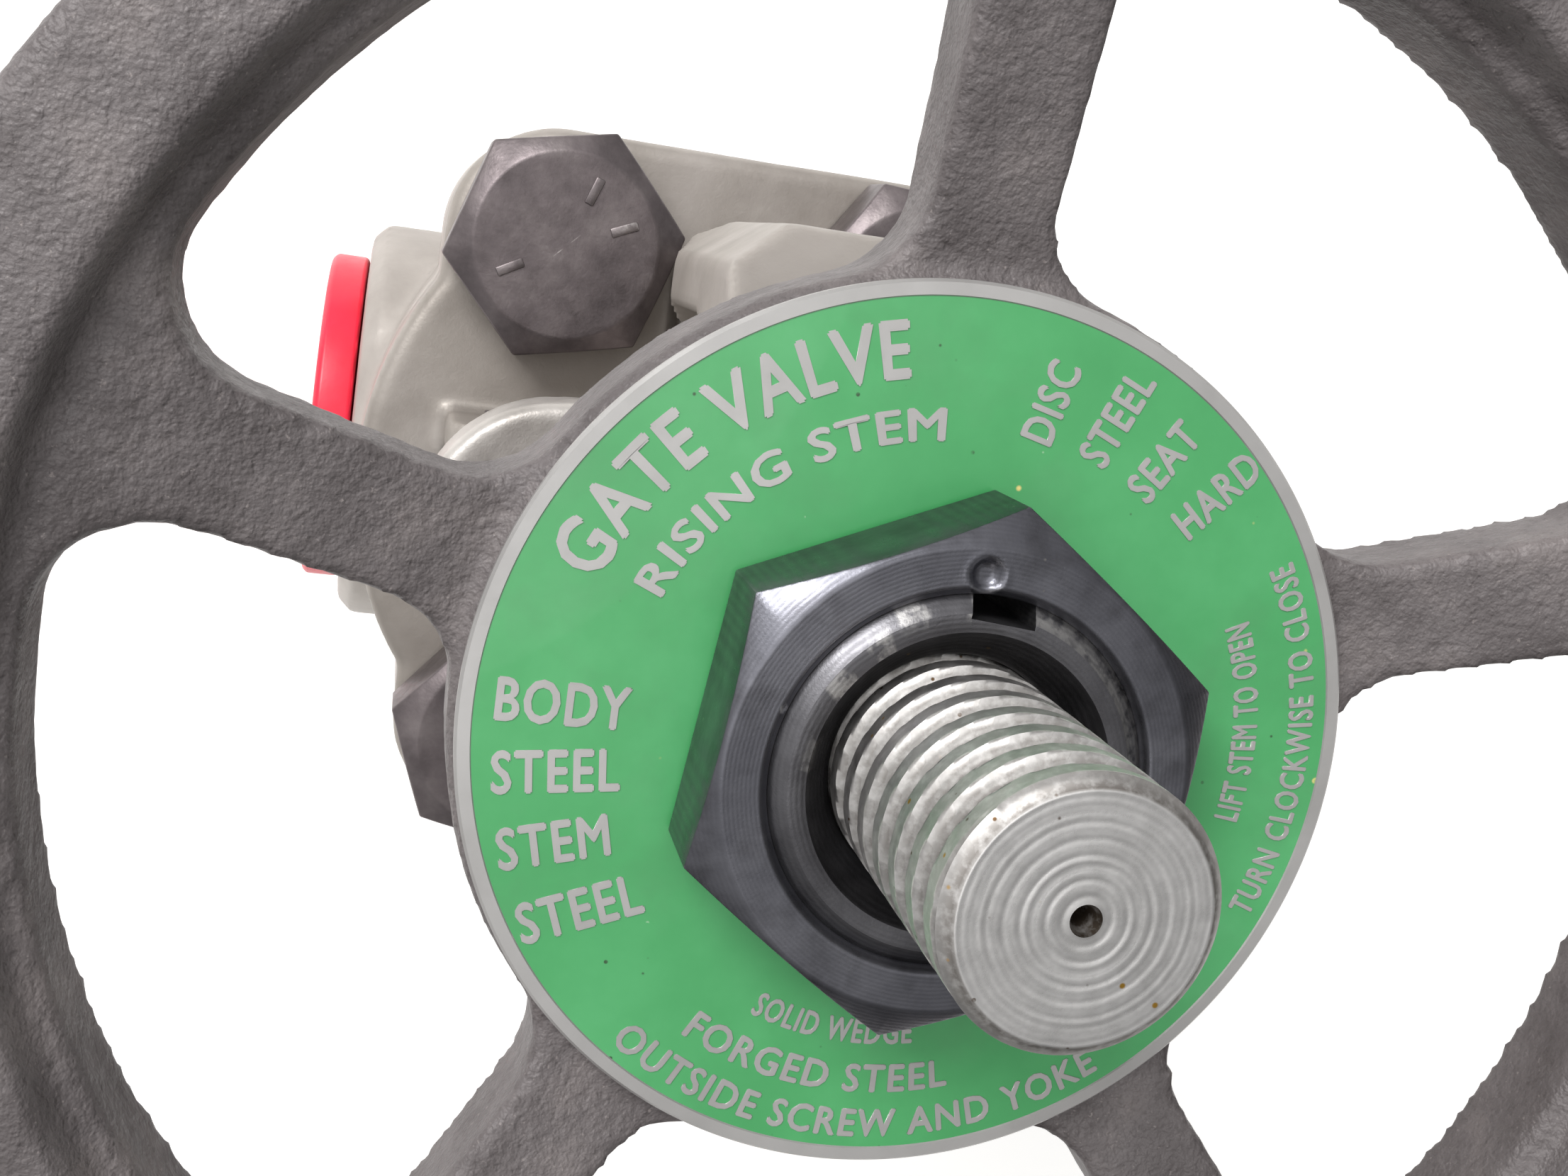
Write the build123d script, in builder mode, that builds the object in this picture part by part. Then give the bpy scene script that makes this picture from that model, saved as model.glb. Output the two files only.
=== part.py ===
# Rising-stem gate valve: socket-weld ends, bolted bonnet with a yoke, handwheel.
# Millimetres. Origin at the centre of the flat base, +Z up the stem, +X along the pipe.
from build123d import *
import math
import os

os.makedirs("parts", exist_ok=True)

# Clearances
run_clear = 0.05
part_gap = 0.3
loose_gap = 0.5
joint_gap = 0.8

# Body and pipe run
pipe_axis_z = 42.0
face_to_face = 103.0
hub_r = 33.5
hub_edge = 2.5
socket_r = 21.35
socket_depth = 13.0
port_r = 14.0
base_r = 24.0
base_edge = 1.5
bowl_length = 58.0
bowl_width = 64.0
bowl_corner_r = 24.0
bowl_bottom_z = 6.0
foot_overlap = 8.0
body_flange_top_z = pipe_axis_z + 40.5
body_flange_t = 22.0

# Flange outline, shared by the body and the bonnet
bolt_x = 25.0
bolt_y = 35.0
lobe_r = 15.8
flange_disc_r = 49.6
flange_edge = 1.2

# Wedge gate and its chamber
gate_r = 18.5
gate_half_t = 10.0
wedge_deg = 5.0
gate_lift_at_rest = 22.0
gate_lift_full = 34.0
gate_boss_top = 22.0
gate_boss_half_w = 11.0
gate_lug_past_guide = 2.5
gate_lug_half_h = 10.0
gate_lug_half_t = 7.0
guide_half_t = 2.6
chamber_half_x = 13.0
chamber_corner_r = 6.0
chamber_floor_z = 17.0
seat_t = 6.0
seat_gap = 0.2

# Stem
stem_r = 9.525
stem_above_plate = 36.6
stem_chamfer = 1.1
centre_hole_r = 1.4
centre_hole_depth = 3.0
head_r = 8.5
head_t = 5.0
head_bottom = 12.5
neck_r = 5.5
collar_bottom = gate_boss_top + part_gap
collar_r = 13.0
collar_t = 2.0
collar_cone_h = 3.0

# Bonnet, packing box and gland
gasket_inner_r = 27.0
gasket_outer_r = 33.0
gasket_t = 3.2
bonnet_flange_t = 16.7
bonnet_bore_r = 17.0
dome_r = 22.0
dome_h = 7.0
dome_cone_h = 8.0
box_outer_r = 20.5
box_inner_r = 15.1
box_web_t = 2.8
bushing_t = 4.0
bushing_outer_r = 14.5
ring_t = 4.0
ring_count = 3
box_rim = 3.0
gland_nose_h = 5.5
gland_collar_r = 17.5
gland_collar_t = 1.5
gland_cone_h = 3.0
gland_top_r = 13.5
gland_flange_t = 8.5
gland_flange_mid_r = 19.0
gland_flange_end_r = 17.0
gland_flange_end_x = 24.5
gland_flange_hole_r = 12.5
gland_flange_edge = 1.0

# Eyebolts
eye_x = 30.0
eye_above_flange = 10.0
eye_r = 7.5
eye_half_t = 4.6
eyebolt_r = 4.75
eyebolt_past_nut = 6.0
eyebolt_chamfer = 0.8
pin_r = 3.2
pin_end = 1.5
lug_t = 5.0
lug_r = 8.0
gland_nut_af = 19.0
gland_nut_t = 9.0

# Bonnet bolts
bolt_r = 9.525
bolt_hole_r = 10.3
bolt_af = 28.6
bolt_head_t = 12.0
bolt_head_deg = 11.5
bolt_end_gap = 1.0

# Yoke
yoke_outer_y = 41.3
yoke_face_half_w = 6.6
yoke_half_w = 13.3
yoke_chamfer_y = 36.2
yoke_inner_y = 30.0
arm_foot_half_w = 7.5
arm_foot_inner_y = 20.0
arm_foot_outer_y = 34.0
arm_flare_h = 18.0
shoulder_below_plate = 50.7
shoulder_slope_h = 19.0
yoke_crown_drop = 14.7
hub_past_collar = 2.5
nut_to_yoke_hub = 15.4
yoke_hub_h = 23.0
yoke_hub_edge = 1.5

# Yoke sleeve and washers
sleeve_r = 16.9
sleeve_seat_step = 0.4
sleeve_thread_step = 1.5
sleeve_collar_step = 4.6
sleeve_collar_t = 6.0
sleeve_top_bevel = 0.5
sleeve_cone_step = 2.2
sleeve_cone_h = 3.2
sleeve_above_nut = 0.2
lower_washer_t = 1.8
upper_washer_t = 2.0
washer_past_collar = 1.5

# Key
key_w = 5.2
key_in_sleeve = 3.5
key_in_wheel = 2.1
key_length = 19.0
key_deg = 85.0

# Handwheel
wheel_r = 82.5
rim_top_w = 10.9
rim_bottom_w = 13.7
rim_h = 12.0
rim_above_plate = 11.0
rim_round = 1.5
wheel_hub_r = 38.6
wheel_hub_t = 10.0
wheel_boss_r = 24.5
wheel_boss_h = 12.7
spoke_count = 5
spoke_first_deg = 19.0
spoke_hub_w = 9.7
spoke_rim_w = 11.5
spoke_t = 9.0
spoke_drop_at_rim = 4.5
spoke_fillet_r = 8.0
hub_edge_round = 1.5

# Nameplate and wheel nut
plate_r = 38.0
plate_t = 1.0
plate_hole_gap = 0.5
plate_edge = 0.3
wheel_nut_af = 38.1
wheel_nut_t = 10.7
wheel_nut_deg = 23.6
wheel_nut_csk = 0.45
stake_r = 1.3
stake_depth = 1.2
stake_past_thread = 1.6
stake_deg = 92.4

# Inlet cap
cap_flange_r = 27.5
cap_flange_t = 6.0
cap_wall = 2.5
cap_depth = 9.0
cap_edge = 1.0

# Sizes that follow from the yoke sleeve
sleeve_seat_r = sleeve_r - sleeve_seat_step
sleeve_thread_r = sleeve_seat_r - sleeve_thread_step
sleeve_collar_r = sleeve_r + sleeve_collar_step
sleeve_cone_r = sleeve_thread_r - sleeve_cone_step
washer_outer_r = sleeve_collar_r + washer_past_collar
yoke_hub_r = sleeve_collar_r + hub_past_collar
key_inner_r = sleeve_seat_r - key_in_sleeve
key_outer_r = sleeve_seat_r + key_in_wheel
plate_hole_r = sleeve_seat_r + plate_hole_gap
stake_at_r = sleeve_thread_r + stake_past_thread

# Sizes that follow from the wheel
rim_top_inner_r = wheel_r - rim_top_w
rim_bottom_inner_r = wheel_r - rim_bottom_w
spoke_tip_r = wheel_r - rim_top_w / 2

# Sizes that follow from the gate
seat_outer_r = gate_r - part_gap
guide_reach = gate_r + seat_gap
gate_lug_reach = guide_reach + gate_lug_past_guide
chamber_half_y = gate_lug_reach + joint_gap
gate_top_half_t = gate_half_t + gate_boss_top * math.tan(math.radians(wedge_deg))
gate_foot_half_t = gate_half_t - gate_r * math.tan(math.radians(wedge_deg))
# Height above its centre at which the gate is narrow enough for the round bore of the bonnet
gate_neck_h = math.sqrt(max(0, gate_r**2 + gate_top_half_t**2 - (bonnet_bore_r - part_gap) ** 2))

# Levels that follow from the sizes above
gate_rest_z = pipe_axis_z + gate_lift_at_rest
gate_open_z = pipe_axis_z + gate_lift_full
bonnet_bottom_z = body_flange_top_z + joint_gap
bonnet_top_z = bonnet_bottom_z + bonnet_flange_t
chamber_top_z = gate_open_z + max(gate_lug_half_h, gate_neck_h) + 2 * part_gap
backseat_z = gate_open_z + collar_bottom + collar_t + collar_cone_h
bushing_top_z = backseat_z + bushing_t - part_gap
box_floor_z = bushing_top_z + box_web_t
packing_top_z = box_floor_z + ring_t * (ring_count + 2)
box_top_z = packing_top_z + box_rim
gland_collar_z = packing_top_z + gland_nose_h
gland_flange_bottom_z = box_top_z + 2 * loose_gap
gland_flange_top_z = gland_flange_bottom_z + gland_flange_t
eye_z = bonnet_top_z + eye_above_flange
gland_nut_top_z = gland_flange_top_z + gland_nut_t
eyebolt_top_z = gland_nut_top_z + eyebolt_past_nut
yoke_hub_bottom_z = gland_nut_top_z + nut_to_yoke_hub
yoke_hub_top_z = yoke_hub_bottom_z + yoke_hub_h
wheel_bottom_z = yoke_hub_top_z + upper_washer_t + part_gap
wheel_hub_top_z = wheel_bottom_z + wheel_boss_h + wheel_hub_t
plate_top_z = wheel_hub_top_z + plate_t
nut_top_z = plate_top_z + wheel_nut_t
sleeve_top_z = nut_top_z + sleeve_above_nut
sleeve_collar_top_z = yoke_hub_bottom_z - part_gap - lower_washer_t
shoulder_z = plate_top_z - shoulder_below_plate
stem_top_z = plate_top_z + stem_above_plate
rim_top_z = plate_top_z + rim_above_plate
rim_bottom_z = rim_top_z - rim_h
seat_thread_z = wheel_hub_top_z - 2 * loose_gap
bolt_end_z = body_flange_top_z - body_flange_t + bolt_end_gap
yoke_bore_r = sleeve_r + run_clear
bolt_spots = [(bolt_x, bolt_y), (-bolt_x, bolt_y), (-bolt_x, -bolt_y), (bolt_x, -bolt_y)]


def save(piece, node):
    piece.part.label = node
    export_step(piece.part, f"parts/{node}.step")


def turned(outline):
    # A solid of revolution about the stem axis from (radius, height) corners
    with BuildPart() as piece:
        with BuildSketch(Plane.XZ):
            with BuildLine():
                Polyline(*outline, close=True)
            make_face()
        revolve(axis=Axis.Z)
    return piece


def ring(inner_r, outer_r, bottom_z, top_z):
    return turned([(inner_r, bottom_z), (outer_r, bottom_z), (outer_r, top_z), (inner_r, top_z)])


def hexagon(across_flats, bottom_z, top_z, turn_deg):
    # A hexagon whose top corners are turned off at 30 degrees
    flat_r = across_flats / 2
    corner_r = flat_r / math.cos(math.radians(30))
    drop = (corner_r - flat_r) * math.tan(math.radians(30))
    with BuildPart() as piece:
        with BuildSketch(Plane.XY.offset(bottom_z)):
            RegularPolygon(flat_r, 6, major_radius=False, rotation=turn_deg)
        extrude(amount=top_z - bottom_z)
        with BuildSketch(Plane.XZ):
            with BuildLine():
                Polyline(
                    (0, bottom_z),
                    (corner_r, bottom_z),
                    (corner_r, top_z - drop),
                    (flat_r, top_z),
                    (0, top_z),
                    close=True,
                )
            make_face()
        revolve(axis=Axis.Z, mode=Mode.INTERSECT)
    return piece


def flange_outline():
    RectangleRounded(2 * (bolt_x + lobe_r), 2 * (bolt_y + lobe_r), lobe_r)
    Circle(flange_disc_r)


def flange(bottom_z, top_z):
    with BuildPart() as piece:
        with BuildSketch(Plane.XY.offset(bottom_z)):
            flange_outline()
        extrude(amount=top_z - bottom_z)
        chamfer(piece.faces().sort_by(Axis.Z)[-1].outer_wire().edges(), flange_edge)
        chamfer(piece.faces().sort_by(Axis.Z)[0].outer_wire().edges(), flange_edge)
    return piece


# Body: bowl, socket hubs, flange, and the chamber that the gate rises in
body_flange = flange(body_flange_top_z - body_flange_t, body_flange_top_z)
with BuildPart() as body:
    with BuildSketch(Plane.XY):
        Circle(base_r)
    extrude(amount=bowl_bottom_z + foot_overlap)
    chamfer(body.faces().sort_by(Axis.Z)[0].edges(), base_edge)
    with BuildSketch(Plane.XY.offset(bowl_bottom_z)):
        RectangleRounded(bowl_length, bowl_width, bowl_corner_r)
    extrude(amount=body_flange_top_z - body_flange_t - bowl_bottom_z + flange_edge)
    with BuildSketch(Plane.YZ.offset(-face_to_face / 2)):
        with Locations((0, pipe_axis_z)):
            Circle(hub_r)
    extrude(amount=face_to_face)
    hub_ends = body.faces().filter_by(Axis.X).group_by(Axis.X)
    chamfer(hub_ends[0].edges() + hub_ends[-1].edges(), hub_edge)
    add(body_flange.part)
    # Gate chamber with its two guide ribs
    with BuildSketch(Plane.XY.offset(chamber_floor_z)):
        RectangleRounded(2 * chamber_half_x, 2 * chamber_half_y, chamber_corner_r)
        with Locations((0, chamber_half_y), (0, -chamber_half_y)):
            Rectangle(2 * guide_half_t, 2 * (chamber_half_y - guide_reach), mode=Mode.SUBTRACT)
    extrude(amount=body_flange_top_z - chamber_floor_z, mode=Mode.SUBTRACT)
    # Port and the two pipe sockets
    with BuildSketch(Plane.YZ.offset(-face_to_face / 2)):
        with Locations((0, pipe_axis_z)):
            Circle(port_r)
    extrude(amount=face_to_face, mode=Mode.SUBTRACT)
    for side in (-1, 1):
        with BuildSketch(Plane.YZ.offset(side * face_to_face / 2)):
            with Locations((0, pipe_axis_z)):
                Circle(socket_r)
        extrude(amount=-side * socket_depth, mode=Mode.SUBTRACT)
    # Gasket groove
    with BuildSketch(Plane.XY.offset(body_flange_top_z)):
        Circle(gasket_outer_r)
        Circle(gasket_inner_r, mode=Mode.SUBTRACT)
    extrude(amount=joint_gap - gasket_t, mode=Mode.SUBTRACT)
    # Tapped holes
    with BuildSketch(Plane.XY.offset(body_flange_top_z - body_flange_t)):
        with Locations(*bolt_spots):
            Circle(bolt_r + run_clear)
    extrude(amount=body_flange_t, mode=Mode.SUBTRACT)

# Seat rings, square to the faces of the closed wedge, pressed into the body
seat_cos = math.cos(math.radians(wedge_deg))
seat_sin = math.sin(math.radians(wedge_deg))
for seat_name, side in (("seat_ring_inlet", -1), ("seat_ring_outlet", 1)):
    seat_plane = Plane(
        origin=(side * (gate_half_t + seat_gap), 0, pipe_axis_z),
        x_dir=(0, 1, 0),
        z_dir=(side * seat_cos, 0, -seat_sin),
    )
    with BuildPart() as seat_ring:
        with BuildSketch(seat_plane):
            Circle(seat_outer_r)
            Circle(port_r, mode=Mode.SUBTRACT)
        extrude(amount=seat_t)
    save(seat_ring, seat_name)
    with BuildPart() as seat_pocket:
        with BuildSketch(seat_plane):
            Circle(seat_outer_r)
        extrude(amount=seat_t)
    with body:
        add(seat_pocket.part, mode=Mode.SUBTRACT)
save(body, "body")

# Gate: a wedge with a T-slot over the stem head and a groove at each guide
with BuildPart() as gate:
    with BuildSketch(Plane.YZ):
        with Locations((0, gate_rest_z)):
            Circle(gate_r)
        with Locations((0, gate_rest_z + gate_boss_top / 2)):
            Rectangle(2 * gate_boss_half_w, gate_boss_top)
    extrude(amount=gate_top_half_t, both=True)
    with BuildSketch(Plane.XZ):
        with BuildLine():
            Polyline(
                (gate_foot_half_t, gate_rest_z - gate_r),
                (gate_top_half_t, gate_rest_z + gate_boss_top),
                (-gate_top_half_t, gate_rest_z + gate_boss_top),
                (-gate_foot_half_t, gate_rest_z - gate_r),
                close=True,
            )
        make_face()
    extrude(amount=gate_r, both=True, mode=Mode.INTERSECT)
    with BuildSketch(Plane.YZ):
        with Locations((0, gate_rest_z)):
            Rectangle(2 * gate_lug_reach, 2 * gate_lug_half_h)
    extrude(amount=gate_lug_half_t, both=True)
    with BuildSketch(Plane.XY.offset(gate_rest_z - gate_r)):
        with Locations((0, gate_lug_reach), (0, -gate_lug_reach)):
            Rectangle(2 * (guide_half_t + loose_gap), 2 * (gate_lug_reach - guide_reach + loose_gap))
    extrude(amount=2 * gate_r, mode=Mode.SUBTRACT)
    slot_h = head_t + 2 * loose_gap
    with BuildSketch(Plane.YZ):
        with Locations((0, gate_rest_z + head_bottom + head_t / 2)):
            Rectangle(2 * (head_r + part_gap), slot_h)
        with Locations((0, gate_rest_z + gate_boss_top)):
            Rectangle(2 * (neck_r + loose_gap), 2 * (gate_boss_top - head_bottom - head_t))
    extrude(amount=gate_top_half_t, both=True, mode=Mode.SUBTRACT)
save(gate, "gate")

# Stem: T-head, neck, backseat collar, shank and screwed end
head_z = gate_rest_z + head_bottom
collar_z = gate_rest_z + collar_bottom
stem = turned(
    [
        (0, head_z),
        (head_r, head_z),
        (head_r, head_z + head_t),
        (neck_r, head_z + head_t),
        (neck_r, collar_z),
        (collar_r, collar_z),
        (collar_r, collar_z + collar_t),
        (stem_r, collar_z + collar_t + collar_cone_h),
        (stem_r, stem_top_z - stem_chamfer),
        (stem_r - stem_chamfer, stem_top_z),
        (centre_hole_r, stem_top_z),
        (0, stem_top_z - centre_hole_depth),
    ]
)
save(stem, "stem")

# Bonnet gasket
bonnet_gasket = ring(gasket_inner_r, gasket_outer_r, bonnet_bottom_z - gasket_t, bonnet_bottom_z)
save(bonnet_gasket, "bonnet_gasket")

# Yoke arms: side outline, cut by the plan outline and by the narrow feet between the bolts
foot_top_z = bonnet_top_z + bolt_head_t + 3 * loose_gap
arm_top_z = foot_top_z + arm_flare_h
with BuildPart() as yoke_arms:
    with BuildSketch(Plane.YZ):
        with BuildLine():
            Polyline(
                (arm_foot_inner_y, bonnet_top_z - flange_edge),
                (arm_foot_outer_y, bonnet_top_z - flange_edge),
                (yoke_outer_y, arm_top_z),
                (yoke_outer_y, shoulder_z),
                (yoke_hub_r, shoulder_z + shoulder_slope_h),
                (0, shoulder_z + shoulder_slope_h),
                (0, yoke_hub_bottom_z),
                (yoke_hub_r, yoke_hub_bottom_z),
                (yoke_inner_y, yoke_hub_bottom_z - yoke_crown_drop),
                (yoke_inner_y, arm_top_z),
                close=True,
            )
        make_face()
    extrude(amount=yoke_half_w, both=True)
    mirror(about=Plane.XZ)
    with BuildSketch(Plane.XY):
        with BuildLine():
            Polyline(
                (yoke_face_half_w, yoke_outer_y),
                (yoke_half_w, yoke_chamfer_y),
                (yoke_half_w, -yoke_chamfer_y),
                (yoke_face_half_w, -yoke_outer_y),
                (-yoke_face_half_w, -yoke_outer_y),
                (-yoke_half_w, -yoke_chamfer_y),
                (-yoke_half_w, yoke_chamfer_y),
                (-yoke_face_half_w, yoke_outer_y),
                close=True,
            )
        make_face()
    extrude(amount=plate_top_z, mode=Mode.INTERSECT)
    with BuildSketch(Plane.XZ):
        with BuildLine():
            Polyline(
                (arm_foot_half_w, 0),
                (arm_foot_half_w, foot_top_z),
                (yoke_half_w, arm_top_z),
                (yoke_half_w, plate_top_z),
                (-yoke_half_w, plate_top_z),
                (-yoke_half_w, arm_top_z),
                (-arm_foot_half_w, foot_top_z),
                (-arm_foot_half_w, 0),
                close=True,
            )
        make_face()
    extrude(amount=yoke_outer_y, both=True, mode=Mode.INTERSECT)

# Bonnet: flange, packing box, eyebolt lugs, yoke arms and yoke hub
bonnet_flange = flange(bonnet_bottom_z, bonnet_top_z)
dome = turned(
    [
        (0, bonnet_top_z - flange_edge),
        (dome_r, bonnet_top_z - flange_edge),
        (dome_r, bonnet_top_z + dome_h),
        (box_outer_r, bonnet_top_z + dome_h + dome_cone_h),
        (box_outer_r, box_top_z),
        (0, box_top_z),
    ]
)
yoke_hub = turned(
    [
        (0, yoke_hub_bottom_z),
        (yoke_hub_r, yoke_hub_bottom_z),
        (yoke_hub_r, yoke_hub_top_z - yoke_hub_edge),
        (yoke_hub_r - yoke_hub_edge, yoke_hub_top_z),
        (0, yoke_hub_top_z),
    ]
)
bonnet_bores = turned(
    [
        (0, chamber_top_z - part_gap),
        (bonnet_bore_r, chamber_top_z - part_gap),
        (bonnet_bore_r, backseat_z - part_gap),
        (bushing_outer_r, backseat_z - part_gap),
        (bushing_outer_r, bushing_top_z),
        (stem_r + loose_gap, bushing_top_z),
        (stem_r + loose_gap, box_floor_z),
        (box_inner_r, box_floor_z),
        (box_inner_r, box_top_z),
        (0, box_top_z),
    ]
)
with BuildPart() as bonnet:
    add(bonnet_flange.part)
    add(dome.part)
    add(yoke_arms.part)
    add(yoke_hub.part)
    for side in (-1, 1):
        for lug_side in (-1, 1):
            lug_y = lug_side * (eye_half_t + part_gap + lug_t / 2)
            with BuildSketch(Plane.XZ.offset(-lug_y)):
                with Locations((side * eye_x, eye_z)):
                    Circle(lug_r)
                with Locations((side * (eye_x - lug_r / 2), (eye_z + bonnet_top_z) / 2)):
                    Rectangle(3 * lug_r, eye_above_flange)
            extrude(amount=lug_t / 2, both=True)
            with BuildSketch(Plane.XZ.offset(-lug_y)):
                with Locations((side * eye_x, eye_z)):
                    Circle(pin_r + run_clear)
            extrude(amount=lug_t / 2, both=True, mode=Mode.SUBTRACT)
    with BuildSketch(Plane.XY.offset(bonnet_bottom_z)):
        RectangleRounded(2 * chamber_half_x, 2 * chamber_half_y, chamber_corner_r)
    extrude(amount=chamber_top_z - bonnet_bottom_z, mode=Mode.SUBTRACT)
    add(bonnet_bores.part, mode=Mode.SUBTRACT)
    with BuildSketch(Plane.XY.offset(bonnet_bottom_z)):
        with Locations(*bolt_spots):
            Circle(bolt_hole_r)
    extrude(amount=bonnet_flange_t, mode=Mode.SUBTRACT)
    with BuildSketch(Plane.XY.offset(yoke_hub_bottom_z)):
        Circle(yoke_bore_r)
    extrude(amount=yoke_hub_h, mode=Mode.SUBTRACT)
save(bonnet, "bonnet")

# Backseat bushing, with a cone above the stem collar
bushing_bottom_z = backseat_z - part_gap
bushing_inner_r = stem_r + loose_gap
backseat_bushing = turned(
    [
        (bushing_inner_r + 2 * loose_gap, bushing_bottom_z),
        (bushing_outer_r, bushing_bottom_z),
        (bushing_outer_r, bushing_top_z),
        (bushing_inner_r, bushing_top_z),
        (bushing_inner_r, bushing_bottom_z + 2 * loose_gap),
    ]
)
save(backseat_bushing, "backseat_bushing")

# Stem packing: braided end rings with moulded rings between them
packing_inner_r = stem_r + run_clear
packing_outer_r = box_inner_r - run_clear
packing_bottom_ring = ring(packing_inner_r, packing_outer_r, box_floor_z, box_floor_z + ring_t)
save(packing_bottom_ring, "packing_bottom_ring")
with BuildPart() as packing_rings:
    for number in range(1, ring_count + 1):
        ring_z = box_floor_z + number * ring_t
        add(ring(packing_inner_r, packing_outer_r, ring_z + run_clear, ring_z + ring_t - run_clear).part)
save(packing_rings, "packing_rings")
packing_top_ring = ring(packing_inner_r, packing_outer_r, packing_top_z - ring_t, packing_top_z)
save(packing_top_ring, "packing_top_ring")

# Gland: nose in the packing box, and a cone that lines the gland flange up
gland_inner_r = stem_r + part_gap
gland_cone_z = gland_collar_z + gland_collar_t
gland_top_z = gland_cone_z + gland_cone_h
gland = turned(
    [
        (gland_inner_r, packing_top_z),
        (packing_outer_r, packing_top_z),
        (packing_outer_r, gland_collar_z),
        (gland_collar_r, gland_collar_z),
        (gland_collar_r, gland_cone_z),
        (gland_top_r, gland_top_z),
        (gland_inner_r, gland_top_z),
    ]
)
save(gland, "gland")

# Gland flange
gland_seat = turned(
    [
        (0, gland_flange_bottom_z),
        (gland_collar_r + part_gap, gland_flange_bottom_z),
        (gland_collar_r + part_gap, gland_cone_z),
        (gland_top_r + part_gap, gland_top_z),
        (gland_flange_hole_r, gland_top_z),
        (gland_flange_hole_r, gland_flange_top_z),
        (0, gland_flange_top_z),
    ]
)
with BuildPart() as gland_flange:
    with BuildSketch(Plane.XY.offset(gland_flange_bottom_z)):
        Circle(gland_flange_mid_r)
        with Locations((gland_flange_end_x, 0), (-gland_flange_end_x, 0)):
            Circle(gland_flange_end_r)
        make_hull()
    extrude(amount=gland_flange_t)
    chamfer(gland_flange.faces().sort_by(Axis.Z)[-1].edges(), gland_flange_edge)
    add(gland_seat.part, mode=Mode.SUBTRACT)
    with BuildSketch(Plane.XY.offset(gland_flange_bottom_z)):
        with Locations((eye_x, 0), (-eye_x, 0)):
            Circle(eyebolt_r + loose_gap)
    extrude(amount=gland_flange_t, mode=Mode.SUBTRACT)
save(gland_flange, "gland_flange")

# Eyebolts, their pins and nuts, one of each on both sides
gland_nut = hexagon(gland_nut_af, gland_flange_top_z, gland_nut_top_z, 0)
pin_half = eye_half_t + part_gap + lug_t + pin_end
with BuildPart() as gland_eyebolts:
    for side in (-1, 1):
        with BuildSketch(Plane.XZ):
            with Locations((side * eye_x, eye_z)):
                Circle(eye_r)
        extrude(amount=eye_half_t, both=True)
        with BuildSketch(Plane.XY.offset(eye_z)):
            with Locations((side * eye_x, 0)):
                Circle(eyebolt_r)
        extrude(amount=eyebolt_top_z - eye_z)
        with BuildSketch(Plane.XZ):
            with Locations((side * eye_x, eye_z)):
                Circle(pin_r + run_clear)
        extrude(amount=2 * eye_half_t, both=True, mode=Mode.SUBTRACT)
    chamfer(gland_eyebolts.faces().group_by(Axis.Z)[-1].edges(), eyebolt_chamfer)
save(gland_eyebolts, "gland_eyebolts")
with BuildPart() as eyebolt_pins:
    with BuildSketch(Plane.XZ):
        with Locations((eye_x, eye_z), (-eye_x, eye_z)):
            Circle(pin_r)
    extrude(amount=pin_half, both=True)
save(eyebolt_pins, "eyebolt_pins")
with BuildPart() as gland_nuts:
    with Locations((eye_x, 0, 0), (-eye_x, 0, 0)):
        add(gland_nut.part)
    with BuildSketch(Plane.XY.offset(gland_flange_top_z)):
        with Locations((eye_x, 0), (-eye_x, 0)):
            Circle(eyebolt_r + run_clear)
    extrude(amount=gland_nut_t, mode=Mode.SUBTRACT)
save(gland_nuts, "gland_nuts")

# Bonnet bolts: cap screws into the tapped body flange
bolt_head = hexagon(bolt_af, bonnet_top_z, bonnet_top_z + bolt_head_t, bolt_head_deg)
with BuildPart() as bonnet_bolts:
    with Locations(*[(x, y, 0) for x, y in bolt_spots]):
        add(bolt_head.part)
    with BuildSketch(Plane.XY.offset(bolt_end_z)):
        with Locations(*bolt_spots):
            Circle(bolt_r)
    extrude(amount=bonnet_top_z - bolt_end_z)
save(bonnet_bolts, "bonnet_bolts")

# Yoke sleeve: it turns in the yoke hub, carries the handwheel and lifts the stem
sleeve_bore_r = stem_r + run_clear
sleeve_blank = turned(
    [
        (sleeve_bore_r, sleeve_collar_top_z - sleeve_collar_t),
        (sleeve_collar_r, sleeve_collar_top_z - sleeve_collar_t),
        (sleeve_collar_r, sleeve_collar_top_z),
        (sleeve_r, sleeve_collar_top_z),
        (sleeve_r, wheel_bottom_z),
        (sleeve_seat_r, wheel_bottom_z),
        (sleeve_seat_r, seat_thread_z),
        (sleeve_thread_r, seat_thread_z),
        (sleeve_thread_r, sleeve_top_z - sleeve_top_bevel),
        (sleeve_thread_r - sleeve_top_bevel, sleeve_top_z),
        (sleeve_cone_r, sleeve_top_z),
        (sleeve_bore_r, sleeve_top_z - sleeve_cone_h),
    ]
)
key_plane = Plane.XY.offset(wheel_bottom_z + part_gap).rotated((0, 0, key_deg))
keyway_mid_r = (key_inner_r + key_outer_r) / 2
keyway_depth = key_outer_r - key_inner_r
with BuildPart() as yoke_sleeve:
    add(sleeve_blank.part)
    with BuildSketch(key_plane):
        with Locations((keyway_mid_r, 0)):
            Rectangle(keyway_depth, key_w)
    extrude(amount=sleeve_top_z - wheel_bottom_z, mode=Mode.SUBTRACT)
save(yoke_sleeve, "yoke_sleeve")
with BuildPart() as handwheel_key:
    with BuildSketch(key_plane):
        with Locations((keyway_mid_r, 0)):
            Rectangle(keyway_depth, key_w)
    extrude(amount=key_length)
save(handwheel_key, "handwheel_key")

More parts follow.
